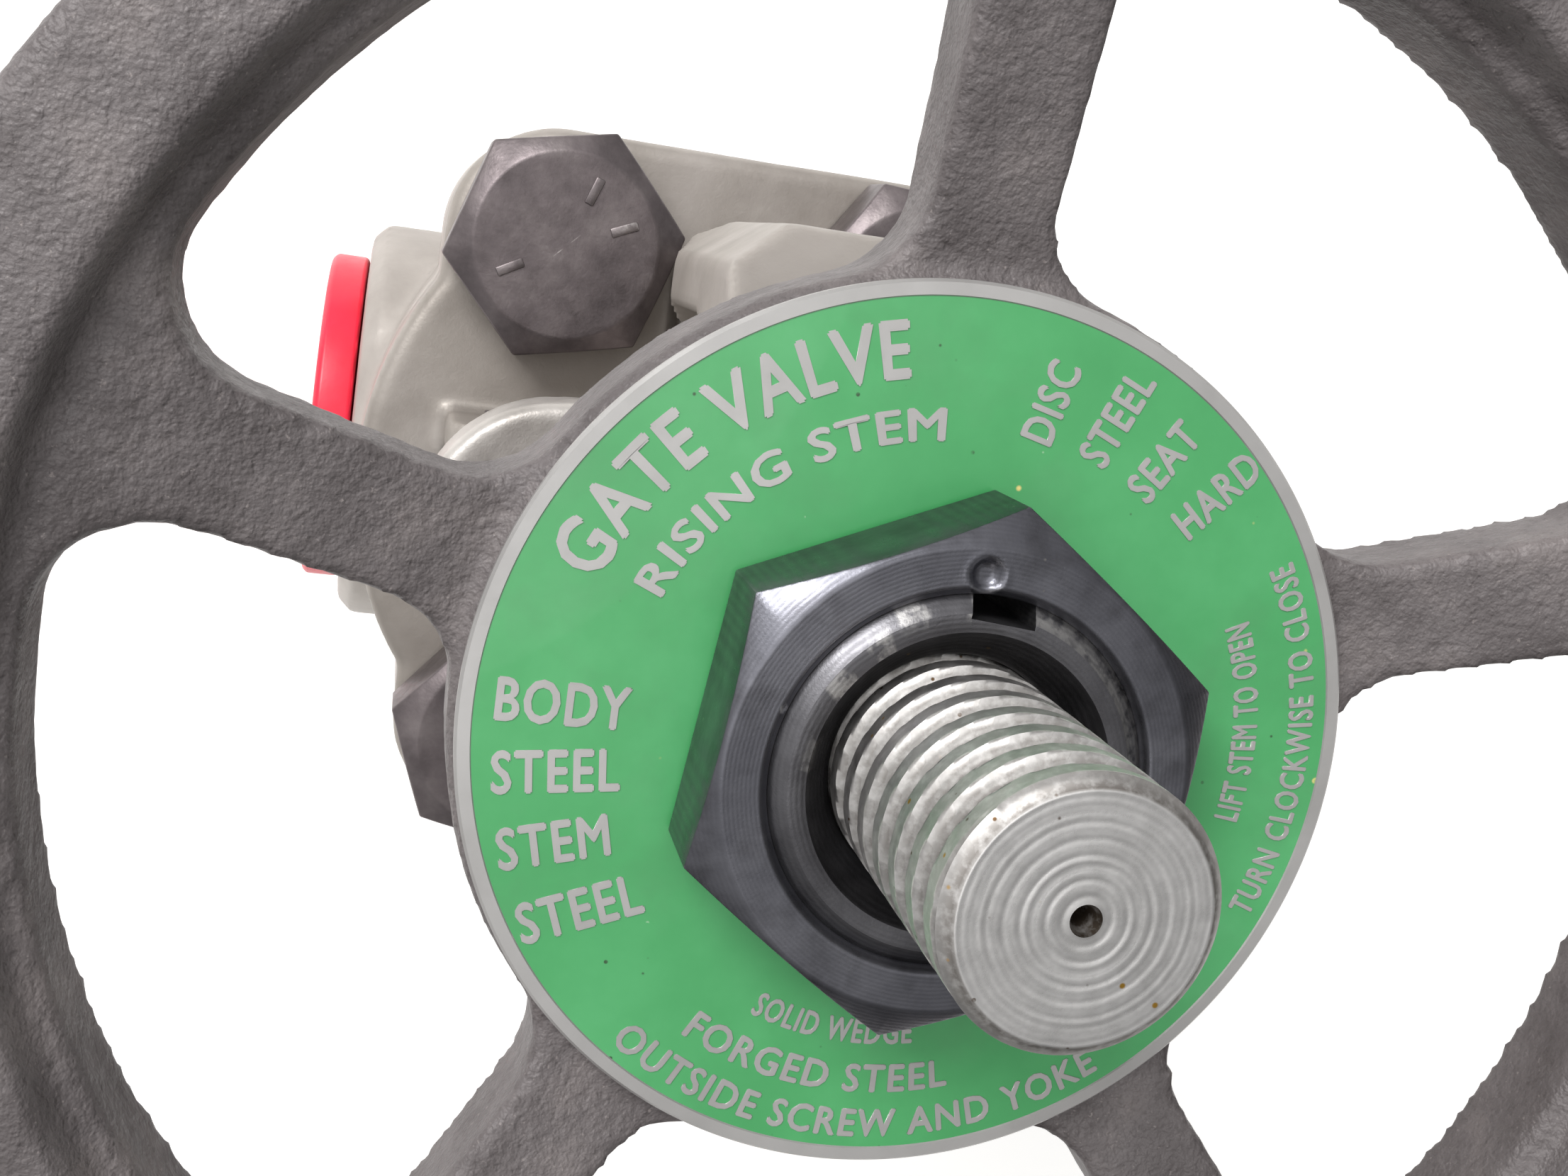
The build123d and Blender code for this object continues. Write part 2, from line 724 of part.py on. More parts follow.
# Washers under and over the yoke hub
yoke_thrust_washer = ring(
    yoke_bore_r + part_gap, sleeve_collar_r, sleeve_collar_top_z, sleeve_collar_top_z + lower_washer_t
)
save(yoke_thrust_washer, "yoke_thrust_washer")
wheel_spacer_washer = ring(
    sleeve_r + part_gap, washer_outer_r, yoke_hub_top_z, yoke_hub_top_z + upper_washer_t
)
save(wheel_spacer_washer, "wheel_spacer_washer")

# Handwheel: spokes are a dished web cut to the plan outline, then the rim and hub are added
web_hub_top_z = wheel_hub_top_z - hub_edge_round
web_rim_top_z = rim_top_z - spoke_drop_at_rim
with BuildPart() as spokes:
    with BuildSketch(Plane.XZ):
        with BuildLine():
            Polyline(
                (wheel_boss_r, web_hub_top_z),
                (wheel_hub_r, web_hub_top_z),
                (rim_bottom_inner_r, web_rim_top_z),
                (spoke_tip_r, web_rim_top_z),
                (spoke_tip_r, web_rim_top_z - spoke_t),
                (rim_bottom_inner_r, web_rim_top_z - spoke_t),
                (wheel_hub_r, web_hub_top_z - spoke_t),
                (wheel_boss_r, web_hub_top_z - spoke_t),
                close=True,
            )
        make_face()
    revolve(axis=Axis.Z)
    with BuildSketch(Plane.XY.offset(wheel_bottom_z)) as spoke_plan:
        with PolarLocations(0, spoke_count, start_angle=spoke_first_deg):
            Polygon(
                (wheel_boss_r, -spoke_hub_w / 2),
                (spoke_tip_r, -spoke_rim_w / 2),
                (spoke_tip_r, spoke_rim_w / 2),
                (wheel_boss_r, spoke_hub_w / 2),
                align=None,
            )
        Circle(wheel_hub_r)
        with BuildSketch(Plane.XY.offset(wheel_bottom_z), mode=Mode.PRIVATE) as rim_plan:
            Circle(wheel_r)
            Circle(rim_bottom_inner_r, mode=Mode.SUBTRACT)
        add(rim_plan.sketch)
        crotches = [
            corner
            for corner in spoke_plan.vertices()
            if wheel_hub_r - loose_gap
            < math.hypot(corner.X, corner.Y)
            < rim_bottom_inner_r + loose_gap
        ]
        fillet(crotches, spoke_fillet_r)
    extrude(amount=rim_top_z - wheel_bottom_z, mode=Mode.INTERSECT)
rim_blank = turned(
    [
        (rim_bottom_inner_r, rim_bottom_z),
        (rim_top_inner_r, rim_top_z),
        (wheel_r, rim_top_z),
        (wheel_r, rim_bottom_z),
    ]
)
with BuildPart() as rim:
    add(rim_blank.part)
    fillet(rim.edges(), rim_round)
wheel_hub = turned(
    [
        (0, wheel_bottom_z),
        (wheel_boss_r, wheel_bottom_z),
        (wheel_boss_r, wheel_bottom_z + wheel_boss_h),
        (wheel_hub_r, wheel_bottom_z + wheel_boss_h),
        (wheel_hub_r, wheel_hub_top_z - hub_edge_round),
        (wheel_hub_r - hub_edge_round, wheel_hub_top_z),
        (0, wheel_hub_top_z),
    ]
)
with BuildPart() as handwheel:
    add(spokes.part)
    add(rim.part)
    add(wheel_hub.part)
    with BuildSketch(Plane.XY.offset(wheel_bottom_z)):
        Circle(sleeve_seat_r + run_clear)
    extrude(amount=wheel_hub_top_z - wheel_bottom_z, mode=Mode.SUBTRACT)
    with BuildSketch(key_plane):
        with Locations((keyway_mid_r, 0)):
            Rectangle(keyway_depth, key_w)
    extrude(amount=wheel_hub_top_z - wheel_bottom_z, mode=Mode.SUBTRACT)
save(handwheel, "handwheel")

# Nameplate
nameplate = turned(
    [
        (plate_hole_r, wheel_hub_top_z),
        (plate_r, wheel_hub_top_z),
        (plate_r, plate_top_z - plate_edge),
        (plate_r - plate_edge, plate_top_z),
        (plate_hole_r, plate_top_z),
    ]
)
save(nameplate, "nameplate")

# Wheel nut, staked at the edge of its thread
nut_blank = hexagon(wheel_nut_af, plate_top_z, nut_top_z, wheel_nut_deg)
nut_bore = turned(
    [
        (0, plate_top_z),
        (sleeve_thread_r + run_clear, plate_top_z),
        (sleeve_thread_r + run_clear, nut_top_z - wheel_nut_csk),
        (sleeve_thread_r + run_clear + wheel_nut_csk, nut_top_z),
        (0, nut_top_z),
    ]
)
stake_angle = math.radians(stake_deg)
stake_spot = (stake_at_r * math.cos(stake_angle), stake_at_r * math.sin(stake_angle))
with BuildPart() as wheel_nut:
    add(nut_blank.part)
    add(nut_bore.part, mode=Mode.SUBTRACT)
    with BuildSketch(Plane.XY.offset(nut_top_z)):
        with Locations(stake_spot):
            Circle(stake_r)
    extrude(amount=-stake_depth, mode=Mode.SUBTRACT)
save(wheel_nut, "wheel_nut")

# Inlet cap: a flanged plastic plug, hollow towards the valve
cap_face_x = -face_to_face / 2 - part_gap
cap_body_r = socket_r - part_gap
with BuildPart() as inlet_cap:
    with BuildSketch(Plane.YZ.offset(cap_face_x)):
        with Locations((0, pipe_axis_z)):
            Circle(cap_flange_r)
    extrude(amount=-cap_flange_t)
    chamfer(inlet_cap.faces().sort_by(Axis.X)[0].edges(), cap_edge)
    with BuildSketch(Plane.YZ.offset(cap_face_x)):
        with Locations((0, pipe_axis_z)):
            Circle(cap_body_r)
    extrude(amount=cap_depth)
    with BuildSketch(Plane.YZ.offset(cap_face_x - cap_flange_t + cap_wall)):
        with Locations((0, pipe_axis_z)):
            Circle(cap_body_r - cap_wall)
    extrude(amount=cap_depth + cap_flange_t - cap_wall, mode=Mode.SUBTRACT)
save(inlet_cap, "inlet_cap")

print("plate top", round(plate_top_z, 2), "nut top", round(nut_top_z, 2), "stem top", round(stem_top_z, 2))
print("flange top", round(bonnet_top_z, 2), "gland flange top", round(gland_flange_top_z, 2))
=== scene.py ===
import math

import bmesh
import bpy
from mathutils import Matrix, Vector


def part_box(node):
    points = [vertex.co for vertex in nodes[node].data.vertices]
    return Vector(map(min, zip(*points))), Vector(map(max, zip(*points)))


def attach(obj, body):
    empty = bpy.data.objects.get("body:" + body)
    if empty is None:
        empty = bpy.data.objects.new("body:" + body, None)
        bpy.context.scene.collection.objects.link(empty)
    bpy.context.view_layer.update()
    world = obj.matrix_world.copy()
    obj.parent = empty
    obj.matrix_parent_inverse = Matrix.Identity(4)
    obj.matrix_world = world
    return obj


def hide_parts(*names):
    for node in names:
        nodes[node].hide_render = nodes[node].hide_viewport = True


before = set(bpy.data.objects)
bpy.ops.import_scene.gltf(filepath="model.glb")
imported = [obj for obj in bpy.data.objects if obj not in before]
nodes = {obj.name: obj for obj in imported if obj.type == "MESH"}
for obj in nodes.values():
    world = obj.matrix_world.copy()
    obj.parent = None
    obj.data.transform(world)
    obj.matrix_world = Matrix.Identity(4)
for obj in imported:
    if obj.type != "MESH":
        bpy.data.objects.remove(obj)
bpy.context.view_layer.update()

# Sizes are in millimetres in the dictionaries, and mm turns them into metres
mm = 0.001
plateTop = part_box("nameplate")[1].z / mm
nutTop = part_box("wheel_nut")[1].z / mm
print("frame loaded,", len(nodes), "nodes")


def linear(hexCode):
    parts = [int(hexCode[i:i + 2], 16) / 255 for i in (1, 3, 5)]
    return (*[c / 12.92 if c <= 0.04045 else ((c + 0.055) / 1.055) ** 2.4 for c in parts], 1.0)


def addNode(tree, kind, inputs=None, **settings):
    node = tree.nodes.new(kind)
    for label, value in settings.items():
        setattr(node, label, value)
    for label, value in (inputs or {}).items():
        if isinstance(value, bpy.types.NodeSocket):
            tree.links.new(value, node.inputs[label])
        else:
            node.inputs[label].default_value = value
    return node


# Finishes, one material for each metal or plastic and how it was made

def makeFinish(name, look):
    # tones: dark, middle and light colour of the patches; rough: least and most;
    # grain: (size, depth) of bumps in mm
    material = bpy.data.materials.new(name)
    material.use_nodes = True
    tree = material.node_tree
    shader = tree.nodes["Principled BSDF"]
    spot = addNode(tree, "ShaderNodeTexCoord").outputs["Object"]

    def cloud(size, seed, detail=5.0, spread=0.6):
        return addNode(tree, "ShaderNodeTexNoise", {"Vector": spot, "W": seed, "Scale": 1 / (size * mm),
                       "Detail": detail, "Roughness": spread}, noise_dimensions="4D").outputs["Fac"]

    def remap(value, low, high, least=0.0, most=1.0):
        return addNode(tree, "ShaderNodeMapRange", {"Value": value, "From Min": low, "From Max": high,
                       "To Min": least, "To Max": most}).outputs["Result"]

    def cover(under, hexCode, share):
        return addNode(tree, "ShaderNodeMixRGB", {"Fac": share, "Color1": under,
                       "Color2": linear(hexCode)}).outputs["Color"]

    def times(one, other):
        return addNode(tree, "ShaderNodeMath", {0: one, 1: other}, operation="MULTIPLY").outputs[0]

    ramp = addNode(tree, "ShaderNodeValToRGB", {"Fac": cloud(look["patch"], 1.0)})
    stops = ramp.color_ramp.elements
    stops[0].position, stops[1].position = look.get("ramp", (0.34, 0.66))
    middle = stops.new(0.5)
    for stop, tone in zip((stops[0], middle, stops[-1]), look["tones"]):
        stop.color = linear(tone)
    colour = ramp.outputs["Color"]
    rough = remap(cloud(look["patch"] / 4, 2.0), 0.3, 0.7, *look["rough"])
    geometry = addNode(tree, "ShaderNodeNewGeometry")
    # painted glints: small lighter specks standing in for highlights sparkling on the grain
    if "glintSpeckle" in look:
        tone, size, share = look["glintSpeckle"]
        colour = cover(colour, tone, remap(cloud(size, 3.0, 2.0), 0.62 - share, 0.7 - share, 0, 0.8))
    if "soot" in look:
        tone, size, share = look["soot"]
        colour = cover(colour, tone, times(remap(cloud(size, 4.0), 0.5, 0.75), share))
    if "pits" in look:
        tone, size, share = look["pits"]
        colour = cover(colour, tone, times(remap(cloud(size, 7.0, 2.0), 0.45, 0.3), share))
    # painted shade: colour darkened where Pointiness is low, in hollows and inner corners where shade falls
    if "hollow" in look:
        tone, low, high = look["hollow"]
        colour = cover(colour, tone, remap(geometry.outputs["Pointiness"], high, low, 0, 0.85))
    if "wear" in look:
        tone, low, high = look["wear"]
        worn = remap(geometry.outputs["Pointiness"], low, high)
        worn = times(worn, remap(cloud(1.1, 5.0), 0.38, 0.55))
        colour = cover(colour, tone, worn)
    if "rootDirtAndSideShade" in look:
        # dirt and old grease that lie in the thread, under the crest radius; that radius lies outside the bar,
        # so the whole side of the bar is darkened as well, as painted shade, while the normal mask keeps it
        # off the lit end face
        tone, crest, root = look["rootDirtAndSideShade"]
        flat = addNode(tree, "ShaderNodeVectorMath", {0: spot, 1: (1, 1, 0)},
            operation="MULTIPLY").outputs[0]
        fromAxis = addNode(tree, "ShaderNodeVectorMath", {0: flat}, operation="LENGTH").outputs["Value"]
        side = addNode(tree, "ShaderNodeSeparateXYZ", {"Vector": geometry.outputs["Normal"]}).outputs["Z"]
        rootDirtAndSide = times(remap(fromAxis, crest * mm, root * mm), remap(side, 0.99, 0.9))
        colour = cover(colour, tone, times(rootDirtAndSide, remap(cloud(0.8, 6.0), 0.25, 0.55, 0.35, 1.0)))
        rough = addNode(tree, "ShaderNodeMath", {0: rough, 1: times(rootDirtAndSide, 0.3)},
            operation="ADD").outputs[0]
    for number, (tone, size, share) in enumerate(look.get("flecks", ())):
        cells = addNode(tree, "ShaderNodeTexVoronoi",
            {"Vector": spot, "W": float(number), "Scale": 1 / (size * mm),
                       "Randomness": 1.0}, voronoi_dimensions="4D").outputs["Distance"]
        small = times(remap(cells, 0.16, 0.1), remap(cloud(7.0, 8.0 + number), 0.66 - share, 0.7 - share))
        colour = cover(colour, tone, small)
    normal = None
    for number, (size, depth) in enumerate(look.get("grain", ())):
        bump = {"Height": cloud(size, 12.0 + number, 2.0), "Distance": depth * mm}
        if normal:
            bump["Normal"] = normal
        normal = addNode(tree, "ShaderNodeBump", bump).outputs["Normal"]
    if "rings" in look:
        # tool marks round the stem axis; a wave's period is a fifth of pi over its scale
        pitch, depth, warp = look["rings"]
        wave = addNode(tree, "ShaderNodeTexWave", {"Vector": spot, "Scale": math.pi / 10 / (pitch * mm),
                       "Distortion": warp, "Detail": 2.0, "Detail Scale": 0.6}, wave_type="RINGS",
                       rings_direction="Z").outputs["Fac"]
        bump = {"Height": wave, "Distance": depth * mm}
        if normal:
            bump["Normal"] = normal
        normal = addNode(tree, "ShaderNodeBump", bump).outputs["Normal"]
        rough = addNode(tree, "ShaderNodeMath", {0: rough, 1: times(wave, 0.08)},
            operation="ADD").outputs[0]
    tree.links.new(colour, shader.inputs["Base Color"])
    tree.links.new(rough, shader.inputs["Roughness"])
    if normal:
        tree.links.new(normal, shader.inputs["Normal"])
    shader.inputs["Metallic"].default_value = look["metal"]
    if "coat" in look:
        shader.inputs["Coat Weight"].default_value = look["coat"]
    return material


finishes = {
    # iron cast in sand and dipped in thin grey paint: a grainy, half-dull skin, darker in its pits, with
    # painted shade in its hollows and painted glints on its grain
    "castIron": makeFinish("sand-cast iron, dip painted", {
        "tones": ("#575151", "#655f5f", "#736c6b"), "patch": 9.0, "rough": (0.46, 0.62), "metal": 0.15,
        "glintSpeckle": ("#877f7d", 0.45, -0.03), "soot": ("#443d3b", 14.0, 0.4), "pits": ("#332d2b", 0.8, 0.3),
        "hollow": ("#3a3433", 0.42, 0.47), "wear": ("#8d8684", 0.55, 0.64),
        "grain": ((0.95, 0.34), (0.42, 0.12))}),
    # drop-forged carbon steel, phosphated: satin grey-brown with a very fine tooth, and painted shade in its
    # hollows
    "forgedSteel": makeFinish("forged steel, phosphated", {
        "tones": ("#8f8881", "#9b948d", "#a7a09a"), "patch": 26.0, "rough": (0.4, 0.52), "metal": 0.4,
        "soot": ("#6c645d", 12.0, 0.4), "hollow": ("#4a433e", 0.4, 0.47), "wear": ("#cdc8c3", 0.54, 0.6),
        "grain": ((0.4, 0.03), (2.6, 0.06))}),
    # the body's forging in the same steel as the bonnet, its tones made lighter as painted light, with painted
    # shade in its hollows
    "bodySteelPaintedLighter": makeFinish("forged steel, blasted", {
        "tones": ("#a29b95", "#afa8a2", "#bab4ae"), "patch": 26.0, "rough": (0.44, 0.56), "metal": 0.35,
        "soot": ("#7a726b", 12.0, 0.35), "hollow": ("#564f4a", 0.4, 0.47),
        "grain": ((0.4, 0.03), (2.6, 0.06))}),
    # the same forging steel on the gland flange, filed on its edges
    "glandSteel": makeFinish("forged steel, zinc phosphated", {
        "tones": ("#a39e99", "#b7b2ad", "#c8c3be"), "patch": 12.0, "rough": (0.36, 0.5), "metal": 0.6,
        "soot": ("#7a726c", 6.0, 0.35), "wear": ("#dedad6", 0.54, 0.6),
        "grain": ((0.3, 0.03), (1.8, 0.06))}),
    # turned free-cutting steel, black oxided: blue-black, satin, with the tool marks left in
    "nutSteel": makeFinish("turned steel, black oxide", {
        "tones": ("#5a5a60", "#66666c", "#75757b"), "patch": 9.0, "rough": (0.24, 0.36), "metal": 0.95,
        "soot": ("#2f2d2e", 4.0, 0.5), "wear": ("#b9b9bd", 0.535, 0.6), "rings": (0.34, 0.004, 1.2),
        "flecks": (("#c9a86a", 2.2, 0.06), ("#8a8680", 1.4, 0.1)), "grain": ((0.25, 0.01),)}),
    "boltSteel": makeFinish("cold-headed steel, black oxide", {
        "tones": ("#5d5657", "#6e6667", "#807878"), "patch": 8.0, "rough": (0.34, 0.5), "metal": 0.85,
        "soot": ("#3d3737", 5.0, 0.4), "wear": ("#a7a19f", 0.56, 0.66),
        "grain": ((0.4, 0.02), (2.0, 0.05))}),
    "sleeveSteel": makeFinish("turned steel, black oxide and oil", {
        "tones": ("#565558", "#605f62", "#6c6b6e"), "patch": 9.0, "rough": (0.28, 0.4), "metal": 0.95,
        "soot": ("#2f2c2f", 4.0, 0.4), "wear": ("#9c9a99", 0.56, 0.66), "rings": (0.4, 0.006, 1.5),
        "flecks": (("#c9a86a", 1.8, 0.08),), "grain": ((0.25, 0.015),)}),
    # 13 chrome stainless bar, lathe turned: bright, with rings on the end, dirt in the thread and painted
    #                                        shade down its side
    "stemSteel": makeFinish("turned stainless steel", {
        "tones": ("#d2d0ce", "#dcdad8", "#e6e4e2"), "patch": 5.0, "rough": (0.2, 0.34), "metal": 1.0,
        "rootDirtAndSideShade": ("#544b42", 10.3, 8.3), "rings": (0.55, 0.006, 2.2), "grain": ((0.3, 0.006),),
        "flecks": (("#b88f3e", 1.6, 0.2), ("#5a4632", 1.2, 0.18))}),
    "boreSteel": makeFinish("turned stainless steel, plain", {
        "tones": ("#a3a09d", "#b5b2b0", "#c4c2c0"), "patch": 5.0, "rough": (0.24, 0.36), "metal": 1.0,
        "rings": (0.5, 0.01, 0.6)}),
    "hardFace": makeFinish("ground cobalt hard facing", {
        "tones": ("#aeb0b2", "#bcbec0", "#c8cacc"), "patch": 3.0, "rough": (0.14, 0.22), "metal": 1.0,
        "grain": ((0.3, 0.004),)}),
    # etched aluminium with baked enamel in the etched field
    "enamel": makeFinish("baked green enamel", {
        "tones": ("#3f9356", "#459a5c", "#4ea265"), "patch": 18.0, "rough": (0.3, 0.42), "metal": 0.0,
        "soot": ("#4c8257", 11.0, 0.4), "grain": ((2.5, 0.02), (0.3, 0.004)), "coat": 0.25,
        "flecks": (("#d9c77a", 2.1, 0.07), ("#e6ead9", 1.5, 0.05), ("#2d4a2e", 1.3, 0.1))}),
    "plateMetal": makeFinish("etched aluminium", {
        "tones": ("#a9a7a5", "#b0aeac", "#b8b6b4"), "patch": 16.0, "rough": (0.36, 0.46), "metal": 0.55,
        "soot": ("#8c8a87", 8.0, 0.3), "grain": ((0.3, 0.003),)}),
    "bronze": makeFinish("turned bronze", {
        "tones": ("#8f6f3c", "#a68548", "#bd9c5c"), "patch": 6.0, "rough": (0.3, 0.42), "metal": 1.0,
        "rings": (0.5, 0.01, 0.8)}),
    # graphite ribbon, wound and pressed: dull grey-black with a fine lustre
    "graphite": makeFinish("pressed graphite", {
        "tones": ("#26272a", "#303135", "#3d3e42"), "patch": 1.2, "rough": (0.4, 0.6), "metal": 0.2,
        "grain": ((0.7, 0.12),)}),
    # steel strip wound with graphite between the turns
    "woundStrip": makeFinish("wound steel strip and graphite", {
        "tones": ("#6d6d6d", "#828282", "#949494"), "patch": 5.0, "rough": (0.35, 0.5), "metal": 0.8,
        "rings": (0.7, 0.2, 0.0)}),
    # polyethylene, injection moulded: saturated red with soft edges and a waxy gloss
    "redPlug": makeFinish("moulded polyethylene, red", {
        "tones": ("#e51a36", "#ee203e", "#f52c4a"), "patch": 14.0, "rough": (0.3, 0.42), "metal": 0.0,
        "grain": ((1.2, 0.02),), "soot": ("#b80d26", 8.0, 0.2)}),
}
print("finishes made:", len(finishes))


# Helpers that make and place meshes

def newPiece(name, mesh):
    piece = bpy.data.objects.new(name, mesh)
    bpy.context.scene.collection.objects.link(piece)
    return piece


def toMesh(name, builder):
    bmesh.ops.remove_doubles(builder, verts=builder.verts, dist=1e-7)
    bmesh.ops.recalc_face_normals(builder, faces=builder.faces)
    mesh = bpy.data.meshes.new(name)
    builder.to_mesh(mesh)
    builder.free()
    return mesh


def sweptPiece(name, sectionAt, steps, firstTurn=0.0):
    # one closed skin through the (radius, height) sections that sectionAt(degrees) gives round the stem axis
    builder = bmesh.new()
    sections = []
    for step in range(steps):
        degrees = firstTurn + 360 * step / steps
        east, north = math.cos(math.radians(degrees)), math.sin(math.radians(degrees))
        sections.append([(r, builder.verts.new((r * east * mm, r * north * mm, z * mm))) for r,
            z in sectionAt(degrees)])
    for step, here in enumerate(sections):
        there = sections[(step + 1) % steps]
        for row in range(len(here)):
            nextRow = (row + 1) % len(here)
            if here[row][0] or here[nextRow][0]:
                corners = (here[row], there[row], there[nextRow], here[nextRow])
                builder.faces.new([vert for _, vert in corners])
    return newPiece(name, toMesh(name, builder))


def settle(piece):
    # the evaluated result becomes the piece's own plain mesh
    graph = bpy.context.evaluated_depsgraph_get()
    mesh = bpy.data.meshes.new_from_object(piece.evaluated_get(graph))
    piece.modifiers.clear()
    piece.data = mesh
    mesh.name = piece.name
    return piece


def softEdges(piece, width, segments=2, limit=25):
    bevel = piece.modifiers.new("soft edges", "BEVEL")
    bevel.width = width * mm
    bevel.segments = segments
    bevel.limit_method = "ANGLE"
    bevel.angle_limit = math.radians(limit)
    bevel.use_clamp_overlap = True
    settle(piece)
    shadeSmooth(piece, limit)
    return piece


def shadeSmooth(piece, limit=180):
    piece.data.polygons.foreach_set("use_smooth", [True] * len(piece.data.polygons))
    if limit < 180:
        piece.data.set_sharp_from_angle(angle=math.radians(limit))


def paint(piece, finish):
    piece.data.materials.clear()
    piece.data.materials.append(finishes[finish])


def place(piece, body, slot, *replaced):
    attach(piece, body)
    if replaced:
        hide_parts(*replaced)


def newTree(name, sizes):
    tree = bpy.data.node_groups.new(name, "GeometryNodeTree")
    face = tree.interface
    face.new_socket("Geometry", in_out="INPUT", socket_type="NodeSocketGeometry")
    for label, kind in sizes.items():
        face.new_socket(label, in_out="INPUT", socket_type="NodeSocket" + kind)
    face.new_socket("Geometry", in_out="OUTPUT", socket_type="NodeSocketGeometry")
    return tree, tree.nodes.new("NodeGroupInput").outputs


def endTree(tree, geometry, material):
    real = addNode(tree, "GeometryNodeRealizeInstances", {"Geometry": geometry}).outputs[0]
    dressed = addNode(tree, "GeometryNodeSetMaterial", {"Geometry": real, "Material": material}).outputs[0]
    addNode(tree, "NodeGroupOutput", {"Geometry": dressed})
    return tree


def runTree(piece, tree, values):
    modifier = piece.modifiers.new(tree.name, "NODES")
    modifier.node_group = tree
    for socket in tree.interface.items_tree:
        if socket.in_out == "INPUT" and socket.name in values:
            modifier[socket.identifier] = values[socket.name]
    return settle(piece)


# Rough skin of cast and forged pieces

def makeRoughSkin():
    tree, given = newTree("rough skin", {"Wave Size": "Float", "Wave Depth": "Float", "Grain Size": "Float",
                          "Grain Depth": "Float", "Bore Radius": "Float", "Seed": "Float",
                          "Material": "Material"})
    spot = addNode(tree, "GeometryNodeInputPosition").outputs[0]
    normal = addNode(tree, "GeometryNodeInputNormal").outputs[0]

    def mathNode(operation, one, other):
        return addNode(tree, "ShaderNodeMath", {0: one, 1: other}, operation=operation).outputs[0]

    def lumps(size, depth, detail):
        scale = mathNode("DIVIDE", 1.0, size)
        cloud = addNode(tree, "ShaderNodeTexNoise", {"Vector": spot, "W": given["Seed"], "Scale": scale,
                        "Detail": detail}, noise_dimensions="4D").outputs["Fac"]
        return mathNode("MULTIPLY", mathNode("SUBTRACT", cloud, 0.5), mathNode("MULTIPLY", depth, 2.0))

    total = mathNode("ADD", lumps(given["Wave Size"], given["Wave Depth"], 1.0),
                     lumps(given["Grain Size"], given["Grain Depth"], 3.0))
    flat = addNode(tree, "ShaderNodeVectorMath", {0: spot, 1: (1, 1, 0)}, operation="MULTIPLY").outputs[0]
    fromAxis = addNode(tree, "ShaderNodeVectorMath", {0: flat}, operation="LENGTH").outputs["Value"]
    kept = addNode(tree, "ShaderNodeMapRange", {"Value": fromAxis, "From Min": given["Bore Radius"],
                   "From Max": mathNode("ADD", given["Bore Radius"], 2 * mm)}).outputs["Result"]
    step = addNode(tree, "ShaderNodeVectorMath", {0: normal, "Scale": mathNode("MULTIPLY", total, kept)},
                   operation="SCALE").outputs[0]
    moved = addNode(tree, "GeometryNodeSetPosition",
        {"Geometry": given["Geometry"], "Offset": step}).outputs[0]
    return endTree(tree, moved, given["Material"])


roughSkin = makeRoughSkin()


def forgedPiece(name, node, skin):
    # a merged copy of the CAD skin, remeshed evenly, eased and roughened
    builder = bmesh.new()
    builder.from_mesh(nodes[node].data)
    piece = newPiece(name, toMesh(name, builder))
    remesh = piece.modifiers.new("even skin", "REMESH")
    remesh.mode = "VOXEL"
    remesh.voxel_size = skin["voxel"] * mm
    ease = piece.modifiers.new("eased", "SMOOTH")
    ease.factor = 0.5
    ease.iterations = skin["ease"]
    settle(piece)
    runTree(piece, roughSkin, {
        "Wave Size": skin["waveSize"] * mm, "Wave Depth": skin["waveDepth"] * mm,
        "Grain Size": skin["grainSize"] * mm, "Grain Depth": skin["grainDepth"] * mm,
        "Bore Radius": skin["boreRadius"] * mm, "Seed": skin["seed"], "Material": finishes[skin["finish"]]})
    shadeSmooth(piece)
    return piece


wheelSkin = {"voxel": 0.82, "ease": 1, "waveSize": 8.0, "waveDepth": 0.14, "grainSize": 1.5,
    "grainDepth": 0.13,
             "boreRadius": 26.0, "seed": 3.0, "finish": "castIron"}
handwheel = forgedPiece("handwheel_casting", "handwheel", wheelSkin)
place(handwheel, "wheel", "wheel_iron", "handwheel")
print("handwheel", len(handwheel.data.polygons))

bonnetSkin = {"voxel": 0.85, "ease": 2, "waveSize": 18.0, "waveDepth": 0.14, "grainSize": 2.4,
    "grainDepth": 0.04,
              "boreRadius": 20.0, "seed": 5.0, "finish": "forgedSteel"}
bonnet = forgedPiece("bonnet_forging", "bonnet", bonnetSkin)
place(bonnet, "valve", "forged_steel", "bonnet")
bodySkin = {"voxel": 1.0, "ease": 2, "waveSize": 20.0, "waveDepth": 0.16, "grainSize": 2.4,
    "grainDepth": 0.04,
            "boreRadius": 2.0, "seed": 8.0, "finish": "bodySteelPaintedLighter"}
body = forgedPiece("body_forging", "body", bodySkin)
place(body, "valve", "forged_steel", "body")
glandSkin = {"voxel": 0.5, "ease": 3, "waveSize": 10.0, "waveDepth": 0.12, "grainSize": 1.4,
    "grainDepth": 0.05,
             "boreRadius": 19.0, "seed": 11.0, "finish": "glandSteel"}
glandFlange = forgedPiece("gland_flange_forging", "gland_flange", glandSkin)
place(glandFlange, "valve", "gland_steel", "gland_flange")
print("forgings", [len(piece.data.polygons) for piece in (bonnet, body, glandFlange)])


# Screw threads

